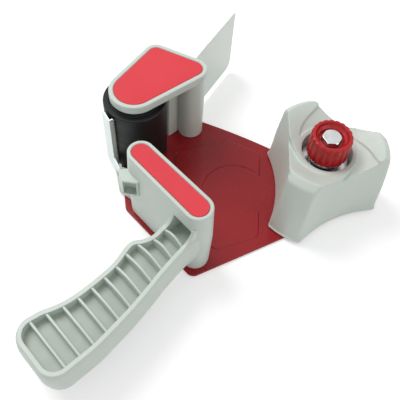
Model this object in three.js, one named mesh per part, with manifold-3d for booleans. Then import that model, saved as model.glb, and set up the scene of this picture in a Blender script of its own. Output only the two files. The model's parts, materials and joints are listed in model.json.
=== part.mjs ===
// Hand-held dispenser for 48 mm packing tape, lying on its side plate. Millimetres, +Z up.
// The roll sits on the three-lobed hub, and the tape runs round the roller to the toothed blade.
import * as THREE from 'three';
import { mergeVertices } from 'three/addons/utils/BufferGeometryUtils.js';
import Module from 'manifold-3d';

const wasm = await Module();
wasm.setup();

// Fits. Heights are measured from the inner face of the side plate, plan places from the hub axis.
const SEAT_GAP = 0.3;
const RUNNING_GAP = 0.1;
const OVERRUN = 5;
const HALF = 0.5;
const INSET_SHARE = 0.97;
const WELD_LENGTH = 0.0001;
const DEG = Math.PI / 180;
const ROUND_STEPS = 8;
const ROUND_SIDES = 40;
const SMALL_SIDES = 24;
const LARGE_SIDES = 60;

// Side plate
const PLATE_THICKNESS = 1.5;
const PLATE_TIP_X = 1;
const PLATE_TIP_Y = -3;
const PLATE_TIP_RADIUS = 18;
const PLATE_CROWN_RADIUS = 400;
const PLATE_ARM_RADIUS = 9;
const PLATE_ROLLER_RADIUS = 12;
const PLATE_SIDE_CORNER_X = -109.6;
const PLATE_SIDE_CORNER_Y = -21.2;
const PLATE_SIDE_CORNER_RADIUS = 6.3;
const PLATE_FRONT_CORNER_X = -70.8;
const PLATE_FRONT_CORNER_Y = -60.3;
const PLATE_FRONT_CORNER_RADIUS = 4.8;
const EMBOSS_DEPTH = 0.7;
const EMBOSS_SLOPE = 1.2;
const DISC_X = -49.1;
const DISC_Y = -5.2;
const DISC_RADIUS = 21.3;
const PANEL_CORNER_RADIUS = 5;
const panelCorners = [[-38, 24], [-55, 31], [-84, 20], [-84, -18], [-58, -42.5], [-38, -33]];

// Roller and its axle
const ROLLER_X = -113.5;
const ROLLER_Y = 23;
const ROLLER_RADIUS = 18.8;
const ROLLER_BOTTOM = 3.1;
const ROLLER_TOP = 48.4;
const SLEEVE_WALL = 3.6;
const SLEEVE_CHAMFER = 0.7;
const CORE_WALL = 2.2;
const CORE_WEB = 3;
const CORE_BOSS_WALL = 2;
const CORE_INSET = 0.6;
const BUSH_WALL = 1.6;
const BUSH_LENGTH = 8;
const BUSH_FLANGE = 1.1;
const BUSH_FLANGE_RADIUS = 7.2;
const ROLLER_WASHER_THICKNESS = 1;
const ROLLER_WASHER_RADIUS = 8;
const AXLE_RADIUS = 3.5;
const AXLE_SOCKET_DEPTH = 3;
const AXLE_CHAMFER = 0.5;

// Top arm over the roller
const CAP_TOP = 56;
const CAP_THICKNESS = 5.6;
const CAP_CHAMFER = 0.5;
const CAP_FAR_X = -104.3;
const CAP_FAR_Y = 54;
const CAP_FAR_RADIUS = 7.4;
const CAP_COLUMN_RADIUS = 8.9;
const CAP_ROLLER_RADIUS = 14.9;
const CAP_RIM = 2.7;
const LABEL_RECESS = 1;
const LABEL_THICKNESS = 0.5;
const COLUMN_X = -81.3;
const COLUMN_Y = 43.4;
const COLUMN_RADIUS = 8.2;
const ARM_WALL = 2.6;
const ARM_WALL_NEAR_X = -94.8;
const ARM_WALL_NEAR_Y = 36.8;
const ARM_WALL_FAR_X = -85;
const ARM_WALL_FAR_Y = 47.4;

// Wiper flap
const FLAP_THICKNESS = 1.2;
const FLAP_BOTTOM = 1.8;
const FLAP_TOP = 49.4;
const FLAP_CORNER_RADIUS = 6;
const FLAP_STEPS = 14;
const flapCourse = [[-84.6, 43.6], [-82.4, 51.5], [-79, 61], [-69.5, 80.5], [-57.8, 104]];

// Handle block and the foot that carries the blade
const HANDLE_X = -70.7;
const HANDLE_Y = -52.8;
const HANDLE_TURN = -43.7;
const BLOCK_TOP = 55.3;
const BLOCK_LENGTH = 46;
const BLOCK_NEAR_RADIUS = 8.9;
const BLOCK_FAR_RADIUS = 8.5;
const BLOCK_RIM = 2.1;
const MOULD_DRAFT = 0.8;
const PARTING_LAND = 0.8;
const CARRIER_TOP = 15.5;
const carrierCorners = [[-118.9, -5, 1.2], [-116.7, -12.3, 1.2], [-107, -20, 2], [-103, -22, 3],
  [-103, -14, 3]];
const LEDGE_TOP = 3;
const ledgeCorners = [[-123.4, 2.4, 1.6], [-119.4, -11.4, 1.6], [-109, -18, 1.6], [-104, -12, 2],
  [-106, 2.4, 1.6]];
const BRACKET_BOTTOM = 28.5;
const BRACKET_TOP = 41.8;
const bracketCorners = [[-115.6, -25.2, 1.2], [-112.9, -30.8, 1.2], [-105.4, -31.7, 1], [-104, -26, 2],
  [-109, -24.2, 1.4]];
const WINDOW_X = -109.7;
const WINDOW_Y = -32.5;
const WINDOW_TURN = -5;
const WINDOW_WIDTH = 7.4;
const WINDOW_DEPTH = 4.6;
const WINDOW_BOTTOM = 30;
const WINDOW_TOP = 40.4;

// Pistol grip. Its outline is given as shares of its length and width.
const GRIP_LENGTH = 107;
const GRIP_WIDTH = 30;
const GRIP_BOTTOM = 13;
const GRIP_TOP = 36.4;
const GRIP_WALL = 2.2;
const GRIP_END_WALL = 3;
const GRIP_END_RADIUS = 9;
const GRIP_BULGE = 1.8;
const GRIP_BOTTOM_DRAW = 3;
const GRIP_BULGE_STEPS = 3;
const GRIP_STEPS = 3;
const GRIP_PARTING = 25;
const WEB_TOP = 24.6;
const WEB_BOTTOM = 21.8;
const RIB_COUNT = 11;
const RIB_FIRST = 14.5;
const RIB_LAST = 13.8;
const RIB_THICKNESS = 1.5;
const RIB_CROWN = 3.2;
const RIB_CROWN_FADE = 0.8;
const RIB_SINK = 0.4;
const RIB_KEY = 1;
const THROAT_LEFT = -10;
const THROAT_RIGHT = 3.6;
const gripLeftShares = [[0.02, -0.4], [0.12, -0.39], [0.2, -0.355], [0.255, -0.4], [0.315, -0.5],
  [0.426, -0.387], [0.51, -0.345], [0.662, -0.33], [0.755, -0.373], [0.839, -0.467]];
const gripRightShares = [[0.815, 0.6], [0.741, 0.593], [0.667, 0.56], [0.519, 0.483], [0.37, 0.37],
  [0.287, 0.3], [0.143, 0.21], [0.08, 0.2], [0.01, 0.2]];
const gussetProfile = [[0, 30], [0, 45.4], [-8, 45.4], [-9.2, 41.8], [-10.8, 39], [-12.8, 37.2],
  [-16, 36.3], [-16, 30]];
const throatProfile = [[-18, 24.6], [-3.2, 24.6], [-3.2, 35.5], [-3.9, 39], [-5.4, 42], [-8.2, 44.6],
  [-18, 47]];

// Blade: one bent steel sheet with a leaf, a toothed edge and a foot tab
const BLADE_THICKNESS = 0.8;
const BLADE_TOP = 47.6;
const BLADE_BOTTOM = 3.4;
const BLADE_CLEARANCE = 3.14;
const BLADE_ANGLE = -124.4;
const LEAF_WIDTH = 9.6;
const LEAF_TURN = 124;
const LEAF_DROP = 2.2;
const TOOTHED_WIDTH = 3.1;
const TOOTHED_TURN = 36;
const TOOTH_COUNT = 17;
const TOOTH_DEPTH = 0.9;
const TAB_LENGTH = 16.5;
const TAB_TURN = -60;
const TAB_TOP = 12.5;

// Hub
const HUB_BOTTOM = 0.7;
const HUB_BOSS_BOTTOM = 2.1;
const HUB_TURN = 1;
const LOBE_ANGLE = 120;
const hubLobes = [0, 1, 2];
const HUB_WAIST = 23.3;
const HUB_SIDE_RADIUS_LOW = 76;
const HUB_SIDE_RADIUS_HIGH = 125;
const HUB_CORNER_BLEND = 1.6;
const HUB_WALL = 2.4;
const HUB_TOP = 50.7;
const HUB_RECESS_RADIUS = 17.8;
const HUB_RECESS_DEPTH = 17.7;
const HUB_FLOOR_THICKNESS = 3;
const HUB_BOSS_RADIUS = 12;
const HUB_POCKET_INNER = 22.5;
const HUB_CROWN_WALL = 13.7;
const HUB_POCKET_RADIUS_LOW = 39;
const HUB_POCKET_RADIUS_HIGH = 36.6;
const HUB_UNDER_RADIUS = 20;
// Radius of the lobes at shares of the hub's height
const hubProfile = [[39.8, 0], [39.8, 0.02], [39, 0.024], [38, 0.472], [36.9, 0.68], [35.6, 0.866],
  [34.9, 0.93], [33, 0.974], [29, 1]];
const hubSector = [-60, -51, -42, -34, -28, -24, -21.5, -19.5, -18, -16.5, -14.5, -11, -6, 0,
  6, 11, 14.5, 16.5, 18, 19.5, 21.5, 24, 28, 34, 42, 51];
const RAMP_START = 180;
const RAMP_SLOPE = 12.5;
const RAMP_TURN = 105.7;
const RAMP_DROP_AT_AXIS = 3.8;
const rampOutline = [[44, -37], [31.7, -37.8], [28.7, -32.8], [25.2, -23.9], [22.6, -15.1], [20.5, -5.8],
  [19.8, 4.9], [19.7, 17], [19.4, 34], [19, 59], [18.8, 81], [18.9, 92], [19.8, 78.8], [21.9, 67],
  [23.9, 57.2], [25.9, 47.6], [28.2, 40.5], [33, 33], [44, 26]];

// Tension brake on the hub
const SPINDLE_RADIUS = 4.9;
const SPINDLE_DROP = 1.4;
const SPINDLE_COLLAR_RADIUS = 5.4;
const SPINDLE_FLANGE_RADIUS = 7;
const SPINDLE_RECESS = 0.2;
const BRAKE_WASHER_RADIUS = 14;
const BRAKE_WASHER_THICKNESS = 1.5;
const PRESSURE_WASHER_RADIUS = 14.8;
const PRESSURE_WASHER_THICKNESS = 1.2;
const BOLT_RADIUS = 3;
const BOLT_BOTTOM = 8;
const BOLT_DROP = 1.1;
const BOLT_HEAD_FLATS = 10;
const BOLT_HEAD_HEIGHT = 4.2;
const BOLT_CHAMFER = 0.5;
const SPRING_RADIUS = 8;
const SPRING_WIRE = 1.6;
const SPRING_TURNS = 3.5;
const SPRING_STEPS = 8;
const SPRING_SIDES = 5;
const KNOB_WASHER_RADIUS = 9.4;
const KNOB_WASHER_THICKNESS = 1;
const KNOB_RISE = 6.2;
const KNOB_HEIGHT = 11.7;
const KNOB_RADIUS = 12;
const KNOB_FLUTES = 20;
const KNOB_FLUTE_DEPTH = 0.8;
const KNOB_FLUTE_STEPS = 5;
const KNOB_CHAMFER = 0.7;
const KNOB_RIM = 2.8;
const KNOB_DISH_DEPTH = 3.6;
const KNOB_UNDER_DEPTH = 2.4;
const KNOB_UNDER_RADIUS = 10;

// Countersunk screws from below
const SCREW_RADIUS = 1.75;
const SCREW_HEAD_RADIUS = 3.4;
const SCREW_HEAD_HEIGHT = 1.1;
const SCREW_RECESS = 0.15;
const SCREW_LENGTH = 13;
const SCREW_DRIVE_RADIUS = 1.3;
const SCREW_DRIVE_DEPTH = 0.8;
const DRIVE_SIDES = 6;

// Materials
const finish = (color, roughness, metalness) =>
  new THREE.MeshStandardMaterial({ color, roughness, metalness });
const paintedSteel = finish(0x8c1f26, 0.25, 0.1);
const greyPlastic = finish(0xccd4ce, 0.45, 0);
const redLabel = finish(0xe2525b, 0.5, 0);
const blackRubber = finish(0x18181a, 0.6, 0);
const blackPlastic = finish(0x303236, 0.5, 0);
const whiteNylon = finish(0xe6e6e0, 0.4, 0);
const zincSteel = finish(0xb8c0c8, 0.3, 0.9);
const redPlastic = finish(0xb01c22, 0.3, 0);
const brownFibre = finish(0x5a4a3a, 0.9, 0);

// Solids and outlines
function toSolid(geometry) {
  const bare = geometry.clone();
  bare.deleteAttribute('normal');
  bare.deleteAttribute('uv');
  const merged = mergeVertices(bare, WELD_LENGTH);
  const triVerts = new Uint32Array(merged.index.array);
  const vertProperties = new Float32Array(merged.attributes.position.array);
  return new wasm.Manifold(new wasm.Mesh({ numProp: 3, vertProperties, triVerts }));
}

function toGeometry(solid) {
  const mesh = solid.getMesh();
  const geometry = new THREE.BufferGeometry();
  geometry.setAttribute('position', new THREE.BufferAttribute(new Float32Array(mesh.vertProperties), 3));
  geometry.setIndex(new THREE.BufferAttribute(new Uint32Array(mesh.triVerts), 1));
  geometry.computeVertexNormals();
  return geometry;
}

const asSolid = (part) => (part.isBufferGeometry ? toSolid(part) : part);
const join = (...parts) => parts.map(asSolid).reduce((sum, part) => sum.add(part));
const cut = (body, ...tools) => tools.map(asSolid).reduce((rest, tool) => rest.subtract(tool), asSolid(body));
const common = (first, second) => asSolid(first).intersect(asSolid(second));

function outline(points) {
  const shape = new THREE.Shape();
  points.forEach(([x, y], i) => (i ? shape.lineTo(x, y) : shape.moveTo(x, y)));
  shape.closePath();
  return shape;
}

// The outline round a set of circles [x, y, radius], taken counter-clockwise.
function hull(circles, grow = 0) {
  const shape = new THREE.Shape();
  const normals = circles.map(([x, y, radius], i) => {
    const [nextX, nextY, nextRadius] = circles[(i + 1) % circles.length];
    const along = Math.atan2(nextY - y, nextX - x);
    const share = (radius - nextRadius) / Math.hypot(nextX - x, nextY - y);
    return along - Math.acos(THREE.MathUtils.clamp(share, -1, 1));
  });
  circles.forEach(([x, y, radius], i) => {
    const start = normals[(i + circles.length - 1) % circles.length];
    let end = normals[i];
    while (end < start) end += 2 * Math.PI;
    shape.absarc(x, y, radius + grow, start, end, false);
  });
  shape.closePath();
  return shape;
}

// The circle of the given radius that holds two circles and touches both from inside.
function holding([firstX, firstY, firstRadius], [secondX, secondY, secondRadius], radius) {
  const apart = new THREE.Vector2(secondX - firstX, secondY - firstY);
  const [fromFirst, fromSecond] = [radius - firstRadius, radius - secondRadius];
  const along = (fromFirst ** 2 - fromSecond ** 2 + apart.lengthSq()) / (2 * apart.length());
  const aside = Math.sqrt(fromFirst ** 2 - along ** 2);
  apart.normalize();
  return [
    firstX + apart.x * along - apart.y * aside,
    firstY + apart.y * along + apart.x * aside,
    radius,
  ];
}

// A closed outline moved inwards by the same distance all round, without the folds in its corners.
function inset(points, distance) {
  const around = (i) => points[(i + points.length) % points.length];
  const moved = points.map(([x, y], i) => {
    const before = new THREE.Vector2(x - around(i - 1)[0], y - around(i - 1)[1]).normalize();
    const after = new THREE.Vector2(around(i + 1)[0] - x, around(i + 1)[1] - y).normalize();
    const inward = new THREE.Vector2(-before.y - after.y, before.x + after.x).normalize();
    const reach = distance / Math.max(inward.dot(new THREE.Vector2(-after.y, after.x)), HALF);
    return new THREE.Vector2(x + inward.x * reach, y + inward.y * reach);
  });
  const wallOf = (place, i) => {
    const start = new THREE.Vector2(...around(i));
    const step = new THREE.Vector2(...around(i + 1)).sub(start);
    const share = THREE.MathUtils.clamp(place.clone().sub(start).dot(step) / step.lengthSq(), 0, 1);
    return place.distanceTo(start.addScaledVector(step, share));
  };
  return moved
    .filter((place) => points.every((_, i) => wallOf(place, i) > INSET_SHARE * distance))
    .map(({ x, y }) => [x, y]);
}

function prism(shape, bottom, top, steps = ROUND_STEPS) {
  const settings = { depth: top - bottom, bevelEnabled: false, curveSegments: steps };
  const geometry = new THREE.ExtrudeGeometry(shape, settings);
  return geometry.translate(0, 0, bottom);
}

// A prism with its top and bottom edges drawn in by edge over the height rise.
function bevelled(shape, bottom, top, rise, edge, steps = ROUND_STEPS) {
  const geometry = new THREE.ExtrudeGeometry(shape, {
    depth: top - bottom - 2 * rise,
    bevelThickness: rise,
    bevelSize: edge,
    bevelOffset: -edge,
    bevelSegments: 1,
    curveSegments: steps,
  });
  return geometry.translate(0, 0, bottom + rise);
}

// A moulding that is widest at its parting line, half way up.
const drafted = (shape, bottom, top) =>
  bevelled(shape, bottom, top, (top - bottom - PARTING_LAND) * HALF, MOULD_DRAFT);

// A turned solid from a counter-clockwise profile of [radius, height] points.
function turned(profile, sides = ROUND_SIDES) {
  const points = profile.map(([radius, height]) => new THREE.Vector2(radius, height));
  points.push(points[0].clone());
  return new THREE.LatheGeometry(points, sides).rotateX(Math.PI * HALF);
}

const ring = (inner, outer, bottom, top, sides = ROUND_SIDES) =>
  turned([[inner, bottom], [outer, bottom], [outer, top], [inner, top]], sides);

const rod = (radius, bottom, top, sides = ROUND_SIDES) =>
  new THREE.CylinderGeometry(radius, radius, top - bottom, sides)
    .rotateX(Math.PI * HALF)
    .translate(0, 0, (top + bottom) * HALF);

// A slab wide enough to part the handle between two heights.
function slab(bottom, top) {
  const width = 2 * (GRIP_LENGTH + GRIP_WIDTH);
  return new THREE.BoxGeometry(width, width, top - bottom).translate(0, 0, (top + bottom) * HALF);
}

// A side view [along Y, height] carried across from left to right.
function crossways(points, left, right) {
  const shape = outline(points);
  const geometry = new THREE.ExtrudeGeometry(shape, { depth: right - left, bevelEnabled: false });
  return geometry.rotateX(Math.PI * HALF).rotateZ(Math.PI * HALF).translate(left, 0, 0);
}

// A front view [x, height] carried lengthways from near to far along Y.
function lengthways(points, near, far) {
  const shape = outline(points);
  const geometry = new THREE.ExtrudeGeometry(shape, { depth: far - near, bevelEnabled: false });
  return geometry.rotateX(Math.PI * HALF).translate(0, far, 0);
}

// A skin over rings of points that share their count, closed by flat ends.
function lofted(rings) {
  const count = rings[0].length;
  const positions = rings.flat(2);
  const index = [];
  rings.slice(1).forEach((_, level) => {
    for (let i = 0; i < count; i += 1) {
      const next = (i + 1) % count;
      const [a, b] = [level * count + i, level * count + next];
      index.push(a, b, b + count, a, b + count, a + count);
    }
  });
  const ends = [rings[0], rings.at(-1)].map((points) => {
    const middle = [0, 0, 0].map((_, axis) => points.reduce((sum, point) => sum + point[axis] / count, 0));
    positions.push(...middle);
    return positions.length / 3 - 1;
  });
  const last = (rings.length - 1) * count;
  for (let i = 0; i < count; i += 1) {
    const next = (i + 1) % count;
    index.push(ends[0], next, i);
    index.push(ends[1], last + i, last + next);
  }
  const geometry = new THREE.BufferGeometry();
  geometry.setAttribute('position', new THREE.BufferAttribute(new Float32Array(positions), 3));
  geometry.setIndex(index);
  return geometry;
}

const root = new THREE.Group();
root.name = 'tape_dispenser';

function addPiece(name, part, look) {
  const geometry = part.isBufferGeometry ? part : toGeometry(part);
  geometry.computeVertexNormals();
  const mesh = new THREE.Mesh(geometry, look);
  mesh.name = name;
  root.add(mesh);
  return mesh;
}

// Places shared by several pieces
const handlePlace = new THREE.Matrix4().makeRotationZ(HANDLE_TURN * DEG).setPosition(HANDLE_X, HANDLE_Y, 0);
const handlePoint = (x, y) => {
  const place = new THREE.Vector3(x, y, 0).applyMatrix4(handlePlace);
  return [place.x, place.y];
};
const nearPost = handlePoint(0, 0);
const farPost = handlePoint(-BLOCK_LENGTH, 0);
const armPost = [COLUMN_X, COLUMN_Y];
const rollerPost = [ROLLER_X, ROLLER_Y];
const screwPosts = {
  handle_screw_near: nearPost,
  handle_screw_far: farPost,
  arm_screw: armPost,
  axle_screw: rollerPost,
};
const screwTop = SCREW_LENGTH - PLATE_THICKNESS;
const screwHole = (bottom) => rod(SCREW_RADIUS + SEAT_GAP, bottom, screwTop + SEAT_GAP, SMALL_SIDES);

// Side plate: pressed steel sheet with a raised disc and panel
const tipCircle = [PLATE_TIP_X, PLATE_TIP_Y, PLATE_TIP_RADIUS];
const armCircle = [...armPost, PLATE_ARM_RADIUS];
const plateCircles = [
  tipCircle,
  holding(tipCircle, armCircle, PLATE_CROWN_RADIUS),
  armCircle,
  [...rollerPost, PLATE_ROLLER_RADIUS],
  [PLATE_SIDE_CORNER_X, PLATE_SIDE_CORNER_Y, PLATE_SIDE_CORNER_RADIUS],
  [PLATE_FRONT_CORNER_X, PLATE_FRONT_CORNER_Y, PLATE_FRONT_CORNER_RADIUS],
];
const panelCircles = panelCorners.map(([x, y]) => [x, y, PANEL_CORNER_RADIUS]);

// A raised or sunk field whose sides slope, as a press leaves them.
function pressed(shape, low, high) {
  const geometry = new THREE.ExtrudeGeometry(shape, {
    depth: EMBOSS_SLOPE,
    bevelThickness: high - low,
    bevelSize: EMBOSS_SLOPE,
    bevelOffset: -EMBOSS_SLOPE,
    bevelSegments: 1,
    curveSegments: ROUND_STEPS,
  });
  return geometry.translate(0, 0, low - EMBOSS_SLOPE);
}

function sidePlate() {
  const panel = hull(panelCircles);
  const countersink = turned([
    [0, -PLATE_THICKNESS - OVERRUN],
    [SCREW_HEAD_RADIUS + SEAT_GAP, -PLATE_THICKNESS - OVERRUN],
    [SCREW_HEAD_RADIUS + SEAT_GAP, -PLATE_THICKNESS + SCREW_RECESS],
    [SCREW_RADIUS + SEAT_GAP, -PLATE_THICKNESS + SCREW_RECESS + SCREW_HEAD_HEIGHT],
    [SCREW_RADIUS + SEAT_GAP, OVERRUN],
    [0, OVERRUN],
  ], SMALL_SIDES);
  const sheet = join(prism(hull(plateCircles), -PLATE_THICKNESS, 0), pressed(panel, 0, EMBOSS_DEPTH));
  const under = pressed(panel, -PLATE_THICKNESS, -PLATE_THICKNESS + EMBOSS_DEPTH);
  const dish = rod(DISC_RADIUS, 0, OVERRUN);
  const holes = Object.values(screwPosts).map(([x, y]) => countersink.clone().translate(x, y, 0));
  const spindleHole = rod(SPINDLE_COLLAR_RADIUS + SEAT_GAP, -OVERRUN, OVERRUN);
  return cut(sheet, under, dish.translate(DISC_X, DISC_Y, 0), ...holes, spindleHole);
}
addPiece('side_plate', sidePlate(), paintedSteel);

// Countersunk screws: two hold the handle, one the top arm and one the roller axle
function countersunkScrew([x, y]) {
  const head = -PLATE_THICKNESS + SCREW_RECESS;
  const body = turned([
    [0, head],
    [SCREW_HEAD_RADIUS, head],
    [SCREW_RADIUS, head + SCREW_HEAD_HEIGHT],
    [SCREW_RADIUS, screwTop - SCREW_RADIUS],
    [SCREW_RADIUS * HALF, screwTop],
    [0, screwTop],
  ], SMALL_SIDES);
  const drive = rod(SCREW_DRIVE_RADIUS, head - OVERRUN, head + SCREW_DRIVE_DEPTH, DRIVE_SIDES);
  return toGeometry(cut(body, drive)).translate(x, y, 0);
}
Object.entries(screwPosts).forEach(([name, place]) => addPiece(name, countersunkScrew(place), zincSteel));

// Top arm: a cap over the roller, the column that carries it and the wall beside it
const capUnder = CAP_TOP - CAP_THICKNESS;
const capCircles = [
  [...armPost, CAP_COLUMN_RADIUS],
  [CAP_FAR_X, CAP_FAR_Y, CAP_FAR_RADIUS],
  [...rollerPost, CAP_ROLLER_RADIUS],
];
const axleTop = capUnder + AXLE_SOCKET_DEPTH;

// The course of the flap, as a strip of the given thickness seen in plan.
function flapStrip(thickness) {
  const course = new THREE.SplineCurve(flapCourse.map(([x, y]) => new THREE.Vector2(x, y)));
  const sides = [1, -1].map((side) => Array.from({ length: FLAP_STEPS + 1 }, (_, i) => {
    const place = course.getPoint(i / FLAP_STEPS);
    const along = course.getTangent(i / FLAP_STEPS);
    const offset = side * thickness * HALF;
    return [place.x - along.y * offset, place.y + along.x * offset];
  }));
  return outline([...sides[0].reverse(), ...sides[1]]);
}

function topArm() {
  const wall = hull([
    [ARM_WALL_NEAR_X, ARM_WALL_NEAR_Y, ARM_WALL * HALF],
    [ARM_WALL_FAR_X, ARM_WALL_FAR_Y, ARM_WALL * HALF],
  ]);
  const body = join(
    bevelled(hull(capCircles), capUnder, CAP_TOP, CAP_CHAMFER, CAP_CHAMFER),
    rod(COLUMN_RADIUS, SEAT_GAP, capUnder + CAP_CHAMFER * 2).translate(...armPost, 0),
    prism(wall, SEAT_GAP, capUnder + CAP_CHAMFER * 2),
  );
  return cut(
    body,
    prism(hull(capCircles, -CAP_RIM), CAP_TOP - LABEL_RECESS, CAP_TOP + OVERRUN),
    rod(AXLE_RADIUS + SEAT_GAP, capUnder - OVERRUN, axleTop + SEAT_GAP).translate(...rollerPost, 0),
    screwHole(-OVERRUN).translate(...armPost, 0),
    prism(flapStrip(FLAP_THICKNESS + 2 * SEAT_GAP), -OVERRUN, FLAP_TOP + SEAT_GAP),
  );
}
addPiece('top_arm', topArm(), greyPlastic);

const labelPlate = (circles, rim, top) => {
  const bottom = top - LABEL_RECESS + SEAT_GAP;
  return prism(hull(circles, -rim - SEAT_GAP), bottom, bottom + LABEL_THICKNESS);
};
addPiece('arm_label', labelPlate(capCircles, CAP_RIM, CAP_TOP), redLabel);

// Wiper flap: a thin bent sheet held in a slot of the column
function wiperFlap() {
  const [rootX, rootY] = flapCourse[0];
  const [tipX, tipY] = flapCourse.at(-1);
  const reach = Math.hypot(tipX - rootX, tipY - rootY) + OVERRUN;
  const corner = FLAP_CORNER_RADIUS;
  const side = new THREE.Shape();
  side.moveTo(0, FLAP_BOTTOM);
  side.lineTo(reach - OVERRUN - corner, FLAP_BOTTOM);
  side.absarc(reach - OVERRUN - corner, FLAP_BOTTOM + corner, corner, -Math.PI * HALF, 0, false);
  side.lineTo(reach - OVERRUN, FLAP_TOP);
  side.lineTo(0, FLAP_TOP);
  side.closePath();
  const panel = prism(side, 0, 2 * reach);
  panel.rotateX(Math.PI * HALF).translate(0, reach, 0);
  panel.rotateZ(Math.atan2(tipY - rootY, tipX - rootX)).translate(rootX, rootY, 0);
  return common(prism(flapStrip(FLAP_THICKNESS), -OVERRUN, FLAP_TOP + OVERRUN), panel);
}
addPiece('wiper_flap', wiperFlap(), greyPlastic);

// Roller: rubber sleeve on a spool that turns with two bushes on a fixed axle
const bushOuter = AXLE_RADIUS + RUNNING_GAP + BUSH_WALL;
const coreBore = bushOuter + SEAT_GAP;
const coreBoss = coreBore + CORE_BOSS_WALL;
const coreRim = ROLLER_RADIUS - SLEEVE_WALL - SEAT_GAP;
const coreBottom = ROLLER_BOTTOM + CORE_INSET;
const coreTop = ROLLER_TOP - CORE_INSET;
const coreMiddle = (coreTop + coreBottom) * HALF;

function onRoller(name, part, look) {
  const geometry = part.isBufferGeometry ? part : toGeometry(part);
  return addPiece(name, geometry.translate(...rollerPost, 0), look);
}

const sleeveInner = ROLLER_RADIUS - SLEEVE_WALL;
onRoller('roller_sleeve', turned([
  [sleeveInner, ROLLER_BOTTOM],
  [ROLLER_RADIUS - SLEEVE_CHAMFER, ROLLER_BOTTOM],
  [ROLLER_RADIUS, ROLLER_BOTTOM + SLEEVE_CHAMFER],
  [ROLLER_RADIUS, ROLLER_TOP - SLEEVE_CHAMFER],
  [ROLLER_RADIUS - SLEEVE_CHAMFER, ROLLER_TOP],
  [sleeveInner, ROLLER_TOP],
], LARGE_SIDES), blackRubber);

onRoller('roller_core', turned([
  [coreBore, coreBottom],
  [coreBoss, coreBottom],
  [coreBoss, coreMiddle - CORE_WEB * HALF],
  [coreRim - CORE_WALL, coreMiddle - CORE_WEB * HALF],
  [coreRim - CORE_WALL, coreBottom],
  [coreRim, coreBottom],
  [coreRim, coreTop],
  [coreRim - CORE_WALL, coreTop],
  [coreRim - CORE_WALL, coreMiddle + CORE_WEB * HALF],
  [coreBoss, coreMiddle + CORE_WEB * HALF],
  [coreBoss, coreTop],
  [coreBore, coreTop],
], LARGE_SIDES), blackPlastic);

// A bush seen as the lower one, with its flange under the spool at the given height.
const bushProfile = (seat) => [
  [AXLE_RADIUS + RUNNING_GAP, seat - BUSH_FLANGE],
  [BUSH_FLANGE_RADIUS, seat - BUSH_FLANGE],
  [BUSH_FLANGE_RADIUS, seat],
  [bushOuter, seat],
  [bushOuter, seat + BUSH_LENGTH],
  [AXLE_RADIUS + RUNNING_GAP, seat + BUSH_LENGTH],
];
const mirrored = (profile, height) => profile.map(([radius, z]) => [radius, 2 * height - z]).reverse();
const lowerBush = bushProfile(coreBottom - SEAT_GAP);
onRoller('roller_bush_lower', turned(lowerBush, SMALL_SIDES), whiteNylon);
onRoller('roller_bush_upper', turned(mirrored(lowerBush, coreMiddle), SMALL_SIDES), whiteNylon);
onRoller('roller_washer', ring(
  AXLE_RADIUS + SEAT_GAP, ROLLER_WASHER_RADIUS, SEAT_GAP, SEAT_GAP + ROLLER_WASHER_THICKNESS,
), zincSteel);

function axle() {
  const body = turned([
    [0, SEAT_GAP],
    [AXLE_RADIUS - AXLE_CHAMFER, SEAT_GAP],
    [AXLE_RADIUS, SEAT_GAP + AXLE_CHAMFER],
    [AXLE_RADIUS, axleTop - AXLE_CHAMFER],
    [AXLE_RADIUS - AXLE_CHAMFER, axleTop],
    [0, axleTop],
  ], SMALL_SIDES);
  return cut(body, screwHole(-OVERRUN));
}
onRoller('roller_axle', axle(), zincSteel);

// Handle: one moulding of the block, the blade's carrier, the bracket with its window and the grip
const blockCircles = [[0, 0, BLOCK_NEAR_RADIUS], [-BLOCK_LENGTH, 0, BLOCK_FAR_RADIUS]];
const blockTopCircles = blockCircles.map(([x, y, radius]) => [x, y, radius - MOULD_DRAFT]);

// Outline of the grip, with the Y axis running back along it from the block.
function gripOutline(length = GRIP_LENGTH) {
  const along = (shares) => {
    const curve = new THREE.SplineCurve(shares.map(([share, width]) =>
      new THREE.Vector2(width * GRIP_WIDTH, -share * GRIP_LENGTH)));
    return curve.getPoints(shares.length * GRIP_STEPS).map(({ x, y }) => [x, y]);
  };
  const left = along(gripLeftShares);
  const right = along(gripRightShares);
  const end = GRIP_END_RADIUS - length;
  const corner = (x, from) => Array.from({ length: ROUND_STEPS }, (_, i) => {
    const angle = from + (i / (ROUND_STEPS - 1)) * Math.PI * HALF;
    return [x + GRIP_END_RADIUS * Math.cos(angle), end + GRIP_END_RADIUS * Math.sin(angle)];
  });
  const leftCorner = corner(left.at(-1)[0] + GRIP_END_RADIUS - GRIP_WALL * HALF, Math.PI);
  const rightCorner = corner(right[0][0] - GRIP_END_RADIUS, -Math.PI * HALF);
  return [...left, ...leftCorner, ...rightCorner, ...right];
}

// One half of the grip's shell, drawn in from the parting line to its rim by draw.
function gripHalf(draw, height) {
  return new THREE.ExtrudeGeometry(outline(inset(gripOutline(), -GRIP_BULGE)), {
    depth: PARTING_LAND,
    bevelThickness: height,
    bevelSize: draw,
    bevelOffset: -draw,
    bevelSegments: GRIP_BULGE_STEPS,
  });
}

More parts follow.
